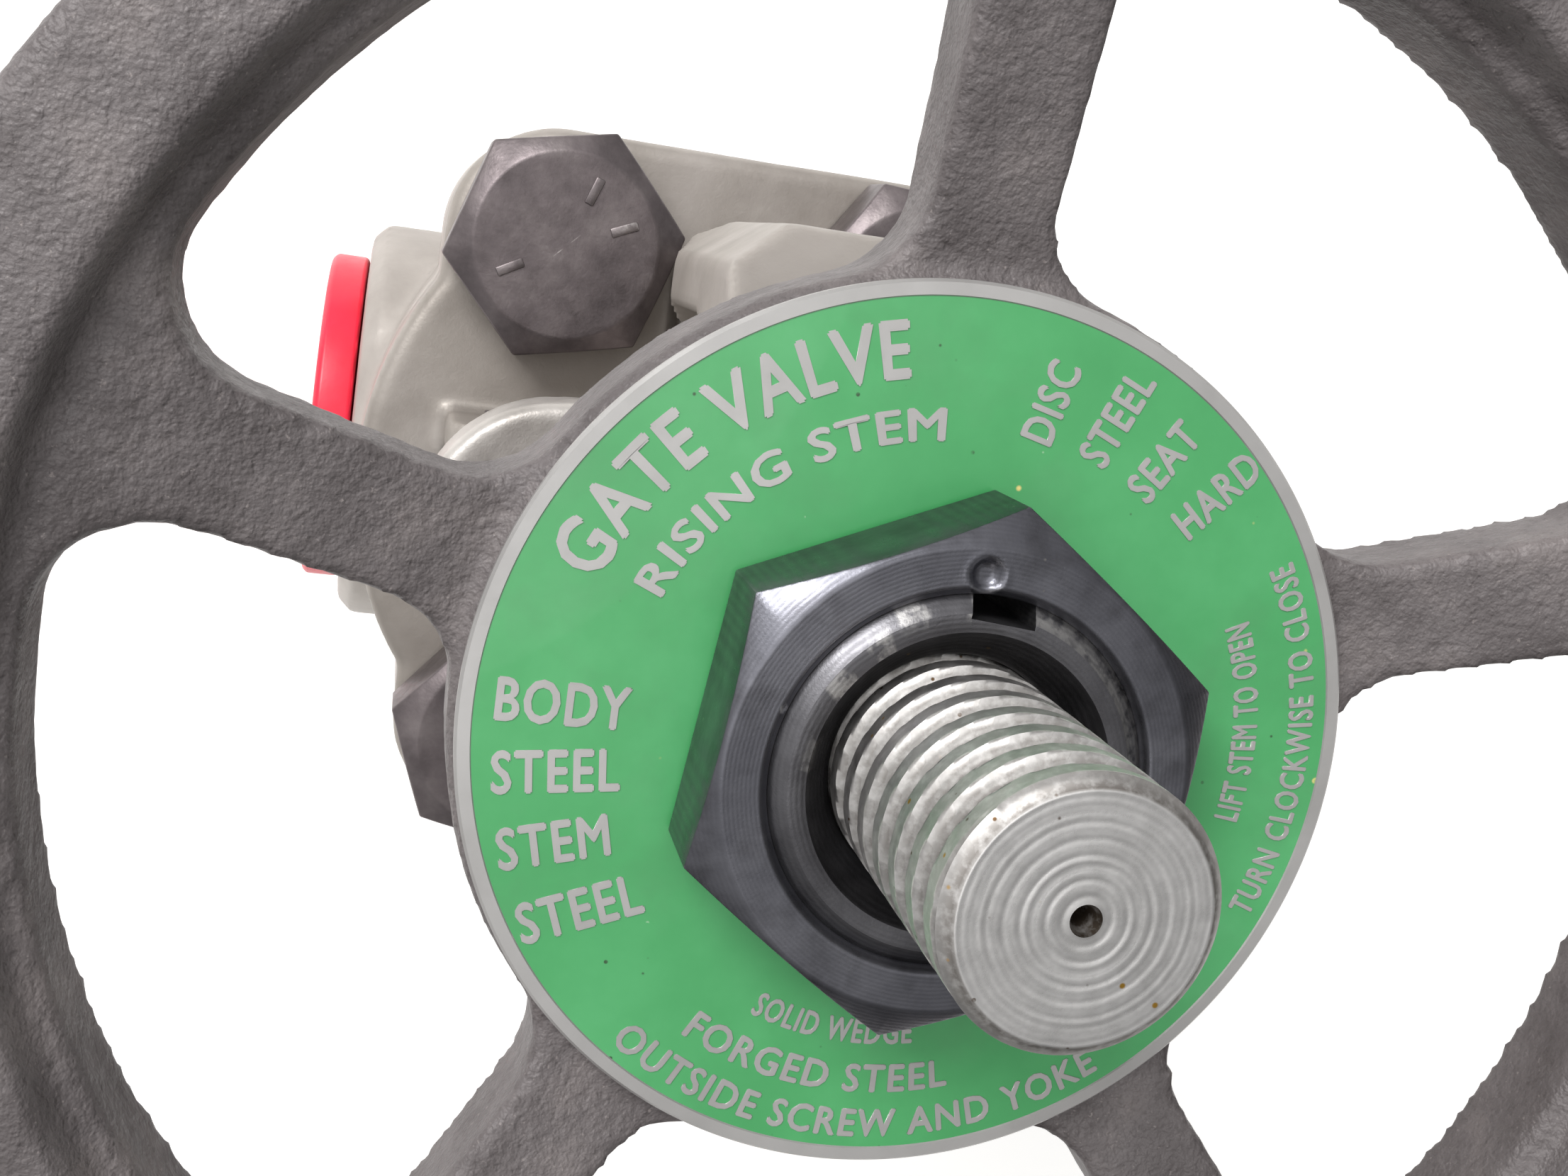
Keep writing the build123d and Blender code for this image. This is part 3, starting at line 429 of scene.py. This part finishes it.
def makeThread():
    # cuts a left-hand thread into a plain bar: crest and root shares are parts of half a pitch
    tree, given = newTree("screw thread", {"Pitch": "Float", "Depth": "Float", "Crest Share": "Float",
                          "Root Share": "Float", "Bar Radius": "Float", "Thread Bottom": "Float",
                          "Thread Top": "Float", "Run Out": "Float", "Material": "Material"})
    spot = addNode(tree, "GeometryNodeInputPosition").outputs[0]
    parts = addNode(tree, "ShaderNodeSeparateXYZ", {"Vector": spot}).outputs

    def mathNode(operation, one, other=0.0):
        return addNode(tree, "ShaderNodeMath", {0: one, 1: other}, operation=operation).outputs[0]

    def remap(value, low, high, least, most):
        return addNode(tree, "ShaderNodeMapRange", {"Value": value, "From Min": low, "From Max": high,
                       "To Min": least, "To Max": most}).outputs["Result"]

    flat = addNode(tree, "ShaderNodeVectorMath", {0: spot, 1: (1, 1, 0)}, operation="MULTIPLY").outputs[0]
    radius = addNode(tree, "ShaderNodeVectorMath", {0: flat}, operation="LENGTH").outputs["Value"]
    turn = mathNode("DIVIDE", mathNode("ARCTAN2", parts["Y"], parts["X"]), 2 * math.pi)
    phase = mathNode("FRACT", mathNode("ADD", mathNode("DIVIDE", parts["Z"], given["Pitch"]), turn))
    fromCrest = mathNode("MULTIPLY", mathNode("ABSOLUTE", mathNode("SUBTRACT", phase, 0.5)), 2.0)
    groove = remap(fromCrest, given["Crest Share"], mathNode("SUBTRACT", 1.0, given["Root Share"]), 0.0,
        1.0)
    lowEnd = remap(parts["Z"], given["Thread Bottom"],
        mathNode("ADD", given["Thread Bottom"], given["Pitch"]), 0.0, 1.0)
    highEnd = remap(parts["Z"], mathNode("SUBTRACT", given["Thread Top"], given["Run Out"]),
        given["Thread Top"], 1.0, 0.0)
    cut = mathNode("MULTIPLY", mathNode("MULTIPLY", groove, given["Depth"]),
        mathNode("MULTIPLY", lowEnd, highEnd))
    share = mathNode("DIVIDE", mathNode("MINIMUM", radius, mathNode("SUBTRACT", given["Bar Radius"], cut)),
                     mathNode("MAXIMUM", radius, 1e-6))
    across = addNode(tree, "ShaderNodeVectorMath", {0: flat, "Scale": share}, operation="SCALE").outputs[0]
    upward = addNode(tree, "ShaderNodeCombineXYZ", {"Z": parts["Z"]}).outputs[0]
    spotNow = addNode(tree, "ShaderNodeVectorMath", {0: across, 1: upward}, operation="ADD").outputs[0]
    moved = addNode(tree, "GeometryNodeSetPosition",
        {"Geometry": given["Geometry"], "Position": spotNow}).outputs[0]
    return endTree(tree, moved, given["Material"])


screwThread = makeThread()


def rows(first, last, step):
    count = max(1, round(abs(last - first) / step))
    return [first + (last - first) * i / count for i in range(count + 1)]


# Rising stem: T-head, neck, backseat collar, plain shank and left-hand Acme thread
stemSizes = {"radius": 9.525, "headRadius": 8.5, "headHeight": 5.0, "neckRadius": 5.5, "collarDrop": 9.8,
             "collarRadius": 13.0, "collarHeight": 2.0, "coneHeight": 3.0, "chamfer": 0.9,
             "holeRadius": 1.1,
             "holeDepth": 3.0, "pitch": 4.233, "depth": 1.9, "crest": 0.42, "root": 0.22,
             "threadLength": 87.0,
             "rowStep": 0.2, "ringPitch": 0.95, "ringDepth": 0.03}


def stemSection(degrees):
    s = stemSizes
    foot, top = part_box("stem")[0].z / mm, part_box("stem")[1].z / mm
    collar = foot + s["collarDrop"]
    outline = [(0, foot), (s["headRadius"], foot), (s["headRadius"], foot + s["headHeight"]),
               (s["neckRadius"], foot + s["headHeight"]), (s["neckRadius"], collar),
               (s["collarRadius"], collar),
               (s["collarRadius"], collar + s["collarHeight"]),
               (s["radius"], collar + s["collarHeight"] + s["coneHeight"])]
    outline += [(s["radius"], z) for z in rows(top - s["threadLength"], top - s["chamfer"], s["rowStep"])]
    for r in rows(s["radius"] - s["chamfer"], s["holeRadius"], s["rowStep"]):
        swirl = math.sin(2 * math.pi * r / s["ringPitch"] + 0.9 * math.sin(1.7 * r))
        fade = max(0.12, 1 - (r / s["radius"]) ** 2)
        outline.append((r, top - s["ringDepth"] + s["ringDepth"] * swirl * fade))
    return outline + [(0.25, top - s["holeDepth"]), (0, top - s["holeDepth"])]


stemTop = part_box("stem")[1].z
stem = sweptPiece("stem_screw", stemSection, 160)
runTree(stem, screwThread, {
    "Pitch": stemSizes["pitch"] * mm, "Depth": stemSizes["depth"] * mm, "Crest Share": stemSizes["crest"],
    "Root Share": stemSizes["root"], "Bar Radius": stemSizes["radius"] * mm,
    "Thread Bottom": stemTop - stemSizes["threadLength"] * mm,
    "Thread Top": stemTop - stemSizes["chamfer"] * mm,
    "Run Out": 0.9 * mm, "Material": finishes["stemSteel"]})
shadeSmooth(stem, 50)
place(stem, "stem", "stem_steel", "stem")
print("stem", len(stem.data.polygons))


# Hexagon nuts and bolt heads

def hexSection(s):
    # corners at s["turn"] + 60k degrees, top corners turned off at 30 degrees, with an optional bore and shank
    def sectionAt(degrees):
        flat = s["acrossFlats"] / 2
        side = flat / math.cos(math.radians((degrees - s["turn"]) % 60 - 30))
        face = flat - s["chamferIn"]
        slope = math.tan(math.radians(30))
        inner = s["bore"] + s["countersink"] if s["bore"] else 0
        outline = list(s["under"](s["bottom"], flat))
        foot, shoulder = s["bottom"] + s["washerFace"], s["top"] - (side - face) * slope
        outline += [(side, foot + (shoulder - foot) * share) for share in (0, 0.33, 0.67, 1)]
        outline += [(r, s["top"]) for r in rows(face, inner, s["faceStep"])]
        if s["bore"]:
            outline.append((s["bore"], s["top"] - s["countersink"]))
        return outline
    return sectionAt


# Wheel nut, staked once beside the sleeve
nutSizes = {"acrossFlats": 38.1, "turn": 23.6, "chamferIn": 0.35, "bore": 15.0, "countersink": 0.6,
            "bottom": plateTop, "top": nutTop, "washerFace": 0.5, "faceStep": 0.28,
            "under": lambda bottom, flat: [(15.0, bottom), (flat - 0.6, bottom),
            (flat - 0.6, bottom + 0.5)]}
stake = {"at": 16.6, "turn": 92.4, "radius": 1.3, "depth": 0.7, "lip": 0.06}


def makeWheelNut():
    piece = sweptPiece("wheel_nut_turned", hexSection(nutSizes), 360, nutSizes["turn"])
    softEdges(piece, 0.14, 2, 20)
    turn = math.radians(stake["turn"])
    centre = Vector((math.cos(turn), math.sin(turn), 0)) * stake["at"]
    for vert in piece.data.vertices:
        away = math.hypot(vert.co.x / mm - centre.x, vert.co.y / mm - centre.y) / stake["radius"]
        if vert.co.z / mm > nutTop - 1.0 and away < 1.6:
            sink = stake["depth"] * max(0, min(1, (1.05 - away) / 0.45))
            vert.co.z -= (sink - stake["lip"] * math.exp(-((away - 1.2) / 0.15) ** 2)) * mm
    paint(piece, "nutSteel")
    return piece


wheelNut = makeWheelNut()
place(wheelNut, "wheel", "black_oxide_steel", "wheel_nut")


# Fasteners in rows and pairs

def makeFastenerGrid():
    tree, given = newTree("fastener grid", {"Fastener": "Object", "Space X": "Float", "Space Y": "Float",
                          "Count X": "Int", "Count Y": "Int", "First Turn": "Float", "Turn Step": "Float",
                          "Material": "Material"})
    grid = addNode(tree, "GeometryNodeMeshGrid", {"Size X": given["Space X"], "Size Y": given["Space Y"],
                   "Vertices X": given["Count X"], "Vertices Y": given["Count Y"]}).outputs["Mesh"]
    part = addNode(tree, "GeometryNodeObjectInfo", {"Object": given["Fastener"]}).outputs["Geometry"]
    index = addNode(tree, "GeometryNodeInputIndex").outputs[0]
    step = addNode(tree, "ShaderNodeMath", {0: index, 1: given["Turn Step"]},
        operation="MULTIPLY").outputs[0]
    turn = addNode(tree, "ShaderNodeMath", {0: step, 1: given["First Turn"]}, operation="ADD").outputs[0]
    about = addNode(tree, "ShaderNodeCombineXYZ", {"Z": turn}).outputs[0]
    placed = addNode(tree, "GeometryNodeInstanceOnPoints", {"Points": grid, "Instance": part,
                     "Rotation": about}).outputs[0]
    return endTree(tree, placed, given["Material"])


fastenerGrid = makeFastenerGrid()


def spread(name, part, finish, spaceX, spaceY, countX, countY, firstTurn=0.0, turnStep=0.0):
    piece = newPiece(name, bpy.data.meshes.new(name))
    runTree(piece, fastenerGrid, {
        "Fastener": part, "Space X": spaceX * mm, "Space Y": spaceY * mm, "Count X": countX,
            "Count Y": countY,
        "First Turn": math.radians(firstTurn), "Turn Step": math.radians(turnStep),
        "Material": finishes[finish]})
    bpy.data.objects.remove(part)
    return piece


# Bonnet bolts: hexagon cap screws with raised grade marks
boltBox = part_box("bonnet_bolts")
boltSizes = {"acrossFlats": 28.6, "turn": 0.0, "chamferIn": 1.9, "bore": 0, "countersink": 0,
    "washerFace": 0.6,
             "bottom": boltBox[1].z / mm - 12.0, "top": boltBox[1].z / mm - 0.35, "faceStep": 1.0,
             "shank": 9.525,
             "foot": boltBox[0].z / mm, "spaceX": 50.0, "spaceY": 70.0, "firstTurn": 49.5,
             "turnStep": -38.0}
boltSizes["under"] = lambda bottom, flat: [
    (0, boltSizes["foot"]), (boltSizes["shank"] - 1.2, boltSizes["foot"]),
        (boltSizes["shank"], boltSizes["foot"] + 1.2),
    (boltSizes["shank"], bottom), (flat - 0.8, bottom), (flat - 0.8, bottom + 0.6)]
gradeMarks = {"turns": (12.0, 58.0, 197.0), "inner": 6.2, "outer": 10.0, "width": 1.3, "height": 0.3}


def makeBolt():
    piece = sweptPiece("bolt", hexSection(boltSizes), 144, boltSizes["turn"])
    softEdges(piece, 0.35, 3, 20)
    builder = bmesh.new()
    builder.from_mesh(piece.data)
    m = gradeMarks
    for turn in m["turns"]:
        size = Matrix.Diagonal(((m["outer"] - m["inner"]) * mm, m["width"] * mm, 2 * m["height"] * mm, 1))
        spot = Matrix.Translation(((m["outer"] + m["inner"]) / 2 * mm, 0, boltSizes["top"] * mm))
        bar = bmesh.ops.create_cube(builder,
            matrix=Matrix.Rotation(math.radians(turn), 4, "Z") @ spot @ size)
        edges = list({edge for vert in bar["verts"] for edge in vert.link_edges})
        bmesh.ops.bevel(builder, geom=edges, offset=0.2 * mm, segments=2, affect="EDGES", profile=0.5)
    builder.to_mesh(piece.data)
    builder.free()
    shadeSmooth(piece, 30)
    return piece


bolts = spread("bonnet_cap_screws", makeBolt(), "boltSteel", boltSizes["spaceX"], boltSizes["spaceY"], 2, 2,
               boltSizes["firstTurn"], boltSizes["turnStep"])
place(bolts, "valve", "black_oxide_steel", "bonnet_bolts")

# Gland nuts and eyebolts, one each side
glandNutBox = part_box("gland_nuts")
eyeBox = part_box("gland_eyebolts")
eyeSpread = 60.0
glandNutSizes = {"acrossFlats": 19.0, "turn": 0.0, "chamferIn": 0.4, "bore": 4.8, "countersink": 0.6,
                 "washerFace": 0.4, "bottom": glandNutBox[0].z / mm, "top": glandNutBox[1].z / mm,
                 "faceStep": 0.8,
                 "under": lambda bottom, flat: [(4.8, bottom), (flat - 0.5, bottom),
                 (flat - 0.5, bottom + 0.4)]}
glandNut = softEdges(sweptPiece("gland nut", hexSection(glandNutSizes), 144), 0.2, 2, 20)
glandNuts = spread("gland_hex_nuts", glandNut, "boltSteel", eyeSpread, 0, 2, 1, 8.0, 17.0)
place(glandNuts, "valve", "black_oxide_steel", "gland_nuts")

eyeSizes = {"rod": 4.75, "eye": 7.5, "hole": 3.25, "half": 4.6, "edge": 1.6, "pitch": 1.5, "depth": 0.85,
            "chamfer": 0.8, "rodStart": 5.6, "threadLength": 26.0}


def makeEyebolt():
    s = eyeSizes
    top = eyeBox[1].z / mm
    eyeZ = eyeBox[0].z / mm + s["eye"]
    start = eyeZ + s["rodStart"]
    rod = sweptPiece("rod", lambda degrees: [(0, start), (s["rod"], start)] + [(s["rod"], z) for z in rows(
        start + 1, top - s["chamfer"], 0.15)] + [(s["rod"] - s["chamfer"], top), (0, top)], 64)
    runTree(rod, screwThread, {
        "Pitch": s["pitch"] * mm, "Depth": s["depth"] * mm, "Crest Share": 0.12, "Root Share": 0.12,
        "Bar Radius": s["rod"] * mm, "Thread Bottom": (top - s["threadLength"]) * mm,
        "Thread Top": top * mm,
        "Run Out": 0.8 * mm, "Material": finishes["boltSteel"]})
    shadeSmooth(rod, 40)
    e = s["edge"]
    eye = softEdges(sweptPiece("eye", lambda degrees: [
        (s["hole"], -s["half"]), (s["eye"] - e, -s["half"]), (s["eye"], e - s["half"]),
            (s["eye"], s["half"] - e),
        (s["eye"] - e, s["half"]), (s["hole"], s["half"])], 72), 0.6, 3, 20)
    eye.data.transform(Matrix.Translation((0, 0, eyeZ * mm)) @ Matrix.Rotation(math.radians(90), 4, "X"))
    builder = bmesh.new()
    builder.from_mesh(rod.data)
    builder.from_mesh(eye.data)
    builder.to_mesh(rod.data)
    builder.free()
    bpy.data.objects.remove(eye)
    return rod


eyebolts = spread("gland_eyebolt_pair", makeEyebolt(), "boltSteel", eyeSpread, 0, 2, 1)
place(eyebolts, "valve", "black_oxide_steel", "gland_eyebolts")
print("fasteners", [len(piece.data.polygons) for piece in (wheelNut, bolts, glandNuts, eyebolts)])

# Yoke sleeve: its screwed top end with a keyway shows inside the nut

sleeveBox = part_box("yoke_sleeve")
sleeveSizes = {"bore": 9.575, "collar": 21.5, "collarHeight": 6.0, "bearing": 16.9, "seat": 16.5,
    "thread": 15.0,
               "threadFrom": 213.7, "chamferIn": 1.35, "chamferDeep": 1.0, "ledge": 12.2,
               "ledgeDeep": 0.45, "cone": 11.9, "coneDeep": 3.2, "keyTurn": 85.0, "keyWidth": 5.2,
               "keyInner": 13.0, "keyOuter": 18.6}


def makeSleeve():
    s = sleeveSizes
    foot, top = sleeveBox[0].z / mm, sleeveBox[1].z / mm
    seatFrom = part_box("handwheel")[0].z / mm
    outline = [(s["bore"], foot), (s["collar"], foot), (s["collar"], foot + s["collarHeight"]),
               (s["bearing"], foot + s["collarHeight"]), (s["bearing"], seatFrom), (s["seat"], seatFrom),
               (s["seat"], s["threadFrom"]), (s["thread"], s["threadFrom"]),
               (s["thread"], top - s["chamferDeep"]),
               (s["thread"] - s["chamferIn"], top), (s["ledge"], top), (s["cone"], top - s["ledgeDeep"]),
               (s["bore"] + 0.4, top - s["coneDeep"]), (s["bore"], top - s["coneDeep"] - 0.6)]
    piece = sweptPiece("yoke_sleeve_turned", lambda degrees: outline, 240)
    builder = bmesh.new()
    middle = (s["keyInner"] + s["keyOuter"]) / 2
    turn = Matrix.Rotation(math.radians(s["keyTurn"]), 4, "Z")
    size = Matrix.Diagonal(((s["keyOuter"] - s["keyInner"]) * mm, s["keyWidth"] * mm, 40 * mm, 1))
    bmesh.ops.create_cube(builder, matrix=turn @ Matrix.Translation((middle * mm, 0,
        seatFrom * mm + 20 * mm)) @ size)
    cutter = newPiece("keyway cutter", toMesh("keyway cutter", builder))
    cut = piece.modifiers.new("keyway", "BOOLEAN")
    cut.operation = "DIFFERENCE"
    cut.solver = "EXACT"
    cut.object = cutter
    settle(piece)
    bpy.data.objects.remove(cutter)
    softEdges(piece, 0.1, 2, 20)
    paint(piece, "sleeveSteel")
    return piece


sleeve = makeSleeve()
place(sleeve, "wheel", "black_oxide_steel", "yoke_sleeve")
print("sleeve", len(sleeve.data.polygons))

# Nameplate: bare rim, green field and raised generic words

plateSizes = {"radius": 38.0, "hole": 17.0, "rim": 1.35, "fieldDrop": 0.12, "bevel": 0.25,
    "letterRise": 0.1}
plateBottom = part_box("nameplate")[0].z / mm


def makePlate():
    s = plateSizes
    field = plateTop - s["fieldDrop"]
    inner = s["radius"] - s["rim"]
    outline = [(s["hole"], plateBottom), (s["radius"] - 0.1, plateBottom), (s["radius"], plateBottom + 0.1),
               (s["radius"], plateTop - s["bevel"]), (s["radius"] - s["bevel"], plateTop),
               (inner + 0.1, plateTop), (inner, field)]
    outline += [(r, field) for r in rows(inner, s["hole"], 1.2)[1:]]
    piece = sweptPiece("nameplate_enamelled", lambda degrees: outline, 360)
    shadeSmooth(piece, 20)
    piece.data.materials.append(finishes["plateMetal"])
    piece.data.materials.append(finishes["enamel"])
    for face in piece.data.polygons:
        radius = math.hypot(face.center.x, face.center.y) / mm
        face.material_index = 1 if face.normal.z > 0.9 and radius < inner else 0
    return piece


plate = makePlate()
place(plate, "wheel", "nameplate_metal", "nameplate")

# Words on arcs: text, letter height, radius of the foot line, middle of the arc and its length
arcWords = (
    ("GATE VALVE", 4.7, 30.4, 130.0, 58.0),
    ("RISING STEM", 2.7, 25.3, 126.0, 62.0),
)
# These arcs read from inside the circle, with their feet outwards
lowWords = (
    ("OUTSIDE SCREW AND YOKE", 2.6, 35.6, -91.0, 76.0),
    ("FORGED STEEL", 2.6, 31.4, -99.0, 46.0),
    ("SOLID WEDGE", 2.2, 26.9, -98.0, 32.0),
    ("TURN CLOCKWISE TO CLOSE", 2.3, 35.4, 5.0, 54.0),
    ("LIFT STEM TO OPEN", 2.3, 30.2, 8.5, 35.0),
)
# Straight words: text, letter height, left end x and y, turn
straightWords = (
    ("BODY", 3.6, -35.2, -0.9, 0.0), ("STEEL", 3.6, -34.6, -7.0, 6.0),
    ("STEM", 3.6, -33.2, -13.4, 13.0), ("STEEL", 3.6, -30.6, -19.6, 20.0),
    ("DISC", 2.9, 6.6, 25.6, 76.0), ("STEEL", 2.9, 11.6, 24.4, 67.0),
    ("SEAT", 2.9, 16.0, 22.0, 58.0), ("HARD", 2.9, 20.2, 19.4, 49.0),
)


def textMesh(words, height, squeeze=0.82, weight=0.032):
    # letters standing on the x axis from x = 0, with the built-in font's capitals scaled to the wanted height
    curve = bpy.data.curves.new(words, "FONT")
    curve.body = words
    curve.size = height / 0.73 * mm
    curve.extrude = plateSizes["letterRise"] * mm
    curve.resolution_u = 3
    curve.space_character = 1.12
    holder = newPiece(words, curve)
    mesh = bpy.data.meshes.new_from_object(holder.evaluated_get(bpy.context.evaluated_depsgraph_get()))
    bpy.data.objects.remove(holder)
    mesh.transform(Matrix.Diagonal((squeeze, 1, 1, 1)))
    # copies laid a little apart thicken the strokes
    builder = bmesh.new()
    for number, (across, upward) in enumerate(((0, 0), (1, 0), (-1, 0), (0, 1), (0, -1))):
        copy = mesh.copy()
        shift = weight * height * mm
        copy.transform(Matrix.Translation((across * shift, upward * shift, -0.004 * number * mm)))
        builder.from_mesh(copy)
        bpy.data.meshes.remove(copy)
    builder.to_mesh(mesh)
    builder.free()
    return mesh


def makeLetters():
    builder = bmesh.new()
    level = (plateTop - plateSizes["fieldDrop"]) * mm

    def gather(mesh, moved):
        for vert in mesh.vertices:
            vert.co = moved(vert.co)
        builder.from_mesh(mesh)
        bpy.data.meshes.remove(mesh)

    def onArc(words, height, radius, middle, length, low):
        mesh = textMesh(words, height)
        width = max(vert.co.x for vert in mesh.vertices)
        stretch = math.radians(length) / width

        def moved(spot):
            along = (spot.x - width / 2) * stretch
            turn = math.radians(middle) + (along if low else -along)
            reach = radius * mm + (-spot.y if low else spot.y)
            return Vector((reach * math.cos(turn), reach * math.sin(turn), level + spot.z))

        gather(mesh, moved)

    for words in arcWords:
        onArc(*words, False)
    for words in lowWords:
        onArc(*words, True)
    for words, height, x, y, turn in straightWords:
        spot = Matrix.Translation((x * mm, y * mm, level)) @ Matrix.Rotation(math.radians(turn), 4, "Z")
        gather(textMesh(words, height, 0.74), lambda co, spot=spot: spot @ co)
    piece = newPiece("nameplate_letters", toMesh("nameplate_letters", builder))
    paint(piece, "plateMetal")
    return piece


letters = makeLetters()
place(letters, "wheel", "nameplate_metal")
print("nameplate", len(plate.data.polygons), len(letters.data.polygons))

# Red plug in the inlet socket

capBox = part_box("inlet_cap")
capSizes = {"flange": 27.5, "flangeHeight": 6.0, "plug": 21.05, "wall": 2.5, "bead": 0.25,
            "dish": 0.9}


def makeCap():
    s = capSizes
    depth = (capBox[1].x - capBox[0].x) / mm
    inner = s["plug"] - s["wall"]
    outline = [(0, s["dish"]), (s["flange"] - 6, s["dish"]), (s["flange"] - 5, 0), (s["flange"] - 0.8, 0),
               (s["flange"], 0.8), (s["flange"], s["flangeHeight"] - 0.5),
               (s["flange"] - 0.5, s["flangeHeight"]),
               (s["plug"] - s["bead"], s["flangeHeight"])]
    for start in (2.2, 5.4):
        rib = s["flangeHeight"] + start
        outline += [(s["plug"] - s["bead"], rib - 0.9), (s["plug"], rib),
            (s["plug"] - s["bead"], rib + 0.9)]
    outline += [(s["plug"] - s["bead"], depth - 1.0), (s["plug"] - 1.0, depth), (inner, depth),
                (inner, s["wall"] + 1.0), (inner - 1.0, s["wall"]), (0, s["wall"])]
    piece = softEdges(sweptPiece("inlet_plug", lambda degrees: outline, 160), 0.4, 3, 25)
    # from the stem axis to the pipe axis, hollow towards the valve
    turn = Matrix.Rotation(math.radians(90), 4, "Y")
    piece.data.transform(Matrix.Translation((capBox[0].x, 0, (capBox[0].z + capBox[1].z) / 2)) @ turn)
    paint(piece, "redPlug")
    return piece


cap = makeCap()
place(cap, "cap", "cap_plastic", "inlet_cap")
print("plug", len(cap.data.polygons))

# Finishes of the CAD nodes that stay

keptNodes = {
    "seat_ring_inlet": "hardFace", "seat_ring_outlet": "hardFace", "gate": "boreSteel",
        "backseat_bushing": "boreSteel",
    "bonnet_gasket": "woundStrip", "packing_bottom_ring": "graphite", "packing_rings": "graphite",
    "packing_top_ring": "graphite", "gland": "boreSteel", "eyebolt_pins": "boltSteel",
    "handwheel_key": "sleeveSteel",
    "yoke_thrust_washer": "bronze", "wheel_spacer_washer": "bronze",
}
for name, finish in keptNodes.items():
    node = nodes[name]
    if not node.data.materials:
        node.data.materials.append(None)
    for materialSlot in node.material_slots:
        materialSlot.material = finishes[finish]
print("kept nodes", len(keptNodes))

# Floor, light and camera

studio = {"floorSize": 3.0, "floorDrop": -0.2, "floorTone": "#f6f5f3", "floorGlow": 0.3, "skyHigh": 1.0,
    "skyLow": 0.7, "skyShade": 0.12}
# name, place, size, power, aimed at the plate
lamps = (("key", (-0.45, 0.55, 0.75), 0.4, 6.5), ("top", (-0.15, 0.1, 1.1), 0.8, 2.0),
         ("fill", (0.7, -0.6, 0.5), 0.8, 0.6))


def makeStudio():
    builder = bmesh.new()
    under = Matrix.Translation((0, 0, studio["floorDrop"] * mm))
    bmesh.ops.create_grid(builder, x_segments=1, y_segments=1, size=studio["floorSize"] / 2, matrix=under)
    floor = newPiece("floor", toMesh("floor", builder))
    material = bpy.data.materials.new("pale paper")
    material.use_nodes = True
    shader = material.node_tree.nodes["Principled BSDF"]
    shader.inputs["Base Color"].default_value = linear(studio["floorTone"])
    shader.inputs["Roughness"].default_value = 0.9
    shader.inputs["Specular IOR Level"].default_value = 0.1
    shader.inputs["Emission Color"].default_value = linear(studio["floorTone"])
    shader.inputs["Emission Strength"].default_value = studio["floorGlow"]
    floor.data.materials.append(material)
    aim = Vector((0, 0, plateTop * mm))
    for name, spot, size, power in lamps:
        light = bpy.data.lights.new(name, "AREA")
        light.shape = "DISK"
        light.size = size
        light.energy = power
        lamp = newPiece(name + " light", light)
        lamp.location = spot
        lamp.rotation_euler = (aim - Vector(spot)).to_track_quat("-Z", "Y").to_euler()
    world = bpy.data.worlds.new("soft room")
    bpy.context.scene.world = world
    world.use_nodes = True
    tree = world.node_tree
    tree.nodes.clear()
    # brighter overhead and towards the key, darker away from it
    way = addNode(tree, "ShaderNodeTexCoord").outputs["Generated"]
    parts = addNode(tree, "ShaderNodeSeparateXYZ", {"Vector": way}).outputs
    toKey = addNode(tree, "ShaderNodeVectorMath", {0: way, 1: Vector((-0.6, 0.6, 0.53)).normalized()},
                    operation="DOT_PRODUCT").outputs["Value"]
    high = addNode(tree, "ShaderNodeMapRange", {"Value": toKey, "From Min": -0.5, "From Max": 0.9,
                   "To Min": studio["skyShade"], "To Max": studio["skyHigh"]}).outputs["Result"]
    glow = addNode(tree, "ShaderNodeMapRange", {"Value": parts["Z"], "From Min": -0.2, "From Max": 0.5,
                   "To Min": studio["skyLow"], "To Max": 1.0}).outputs["Result"]
    strength = addNode(tree, "ShaderNodeMath", {0: high, 1: glow}, operation="MULTIPLY").outputs[0]
    back = addNode(tree, "ShaderNodeBackground",
        {"Color": (1.0, 1.0, 1.0, 1.0), "Strength": strength}).outputs[0]
    addNode(tree, "ShaderNodeOutputWorld", {"Surface": back})


makeStudio()

# The view is nearly down the stem, from a hand's breadth above the wheel
cameraView = {"place": (-44.8, 37.1, plateTop + 129.5), "ahead": (0.2309, -0.1859, -0.9551),
              "right": (0.9676, 0.1469, 0.2053), "lens": 39.06, "sensor": 36.0}


def makeCamera():
    camera = bpy.data.cameras.new("camera")
    camera.lens = cameraView["lens"]
    camera.sensor_width = cameraView["sensor"]
    camera.clip_start = 0.005
    camera.clip_end = 20
    holder = newPiece("camera", camera)
    back = -Vector(cameraView["ahead"]).normalized()
    up = back.cross(Vector(cameraView["right"])).normalized()
    right = up.cross(back)
    holder.matrix_world = Matrix((right, up, back)).transposed().to_4x4()
    holder.location = Vector(cameraView["place"]) * mm
    bpy.context.scene.camera = holder
    bpy.context.scene.view_settings.view_transform = "Standard"


makeCamera()
print("studio and camera ready")
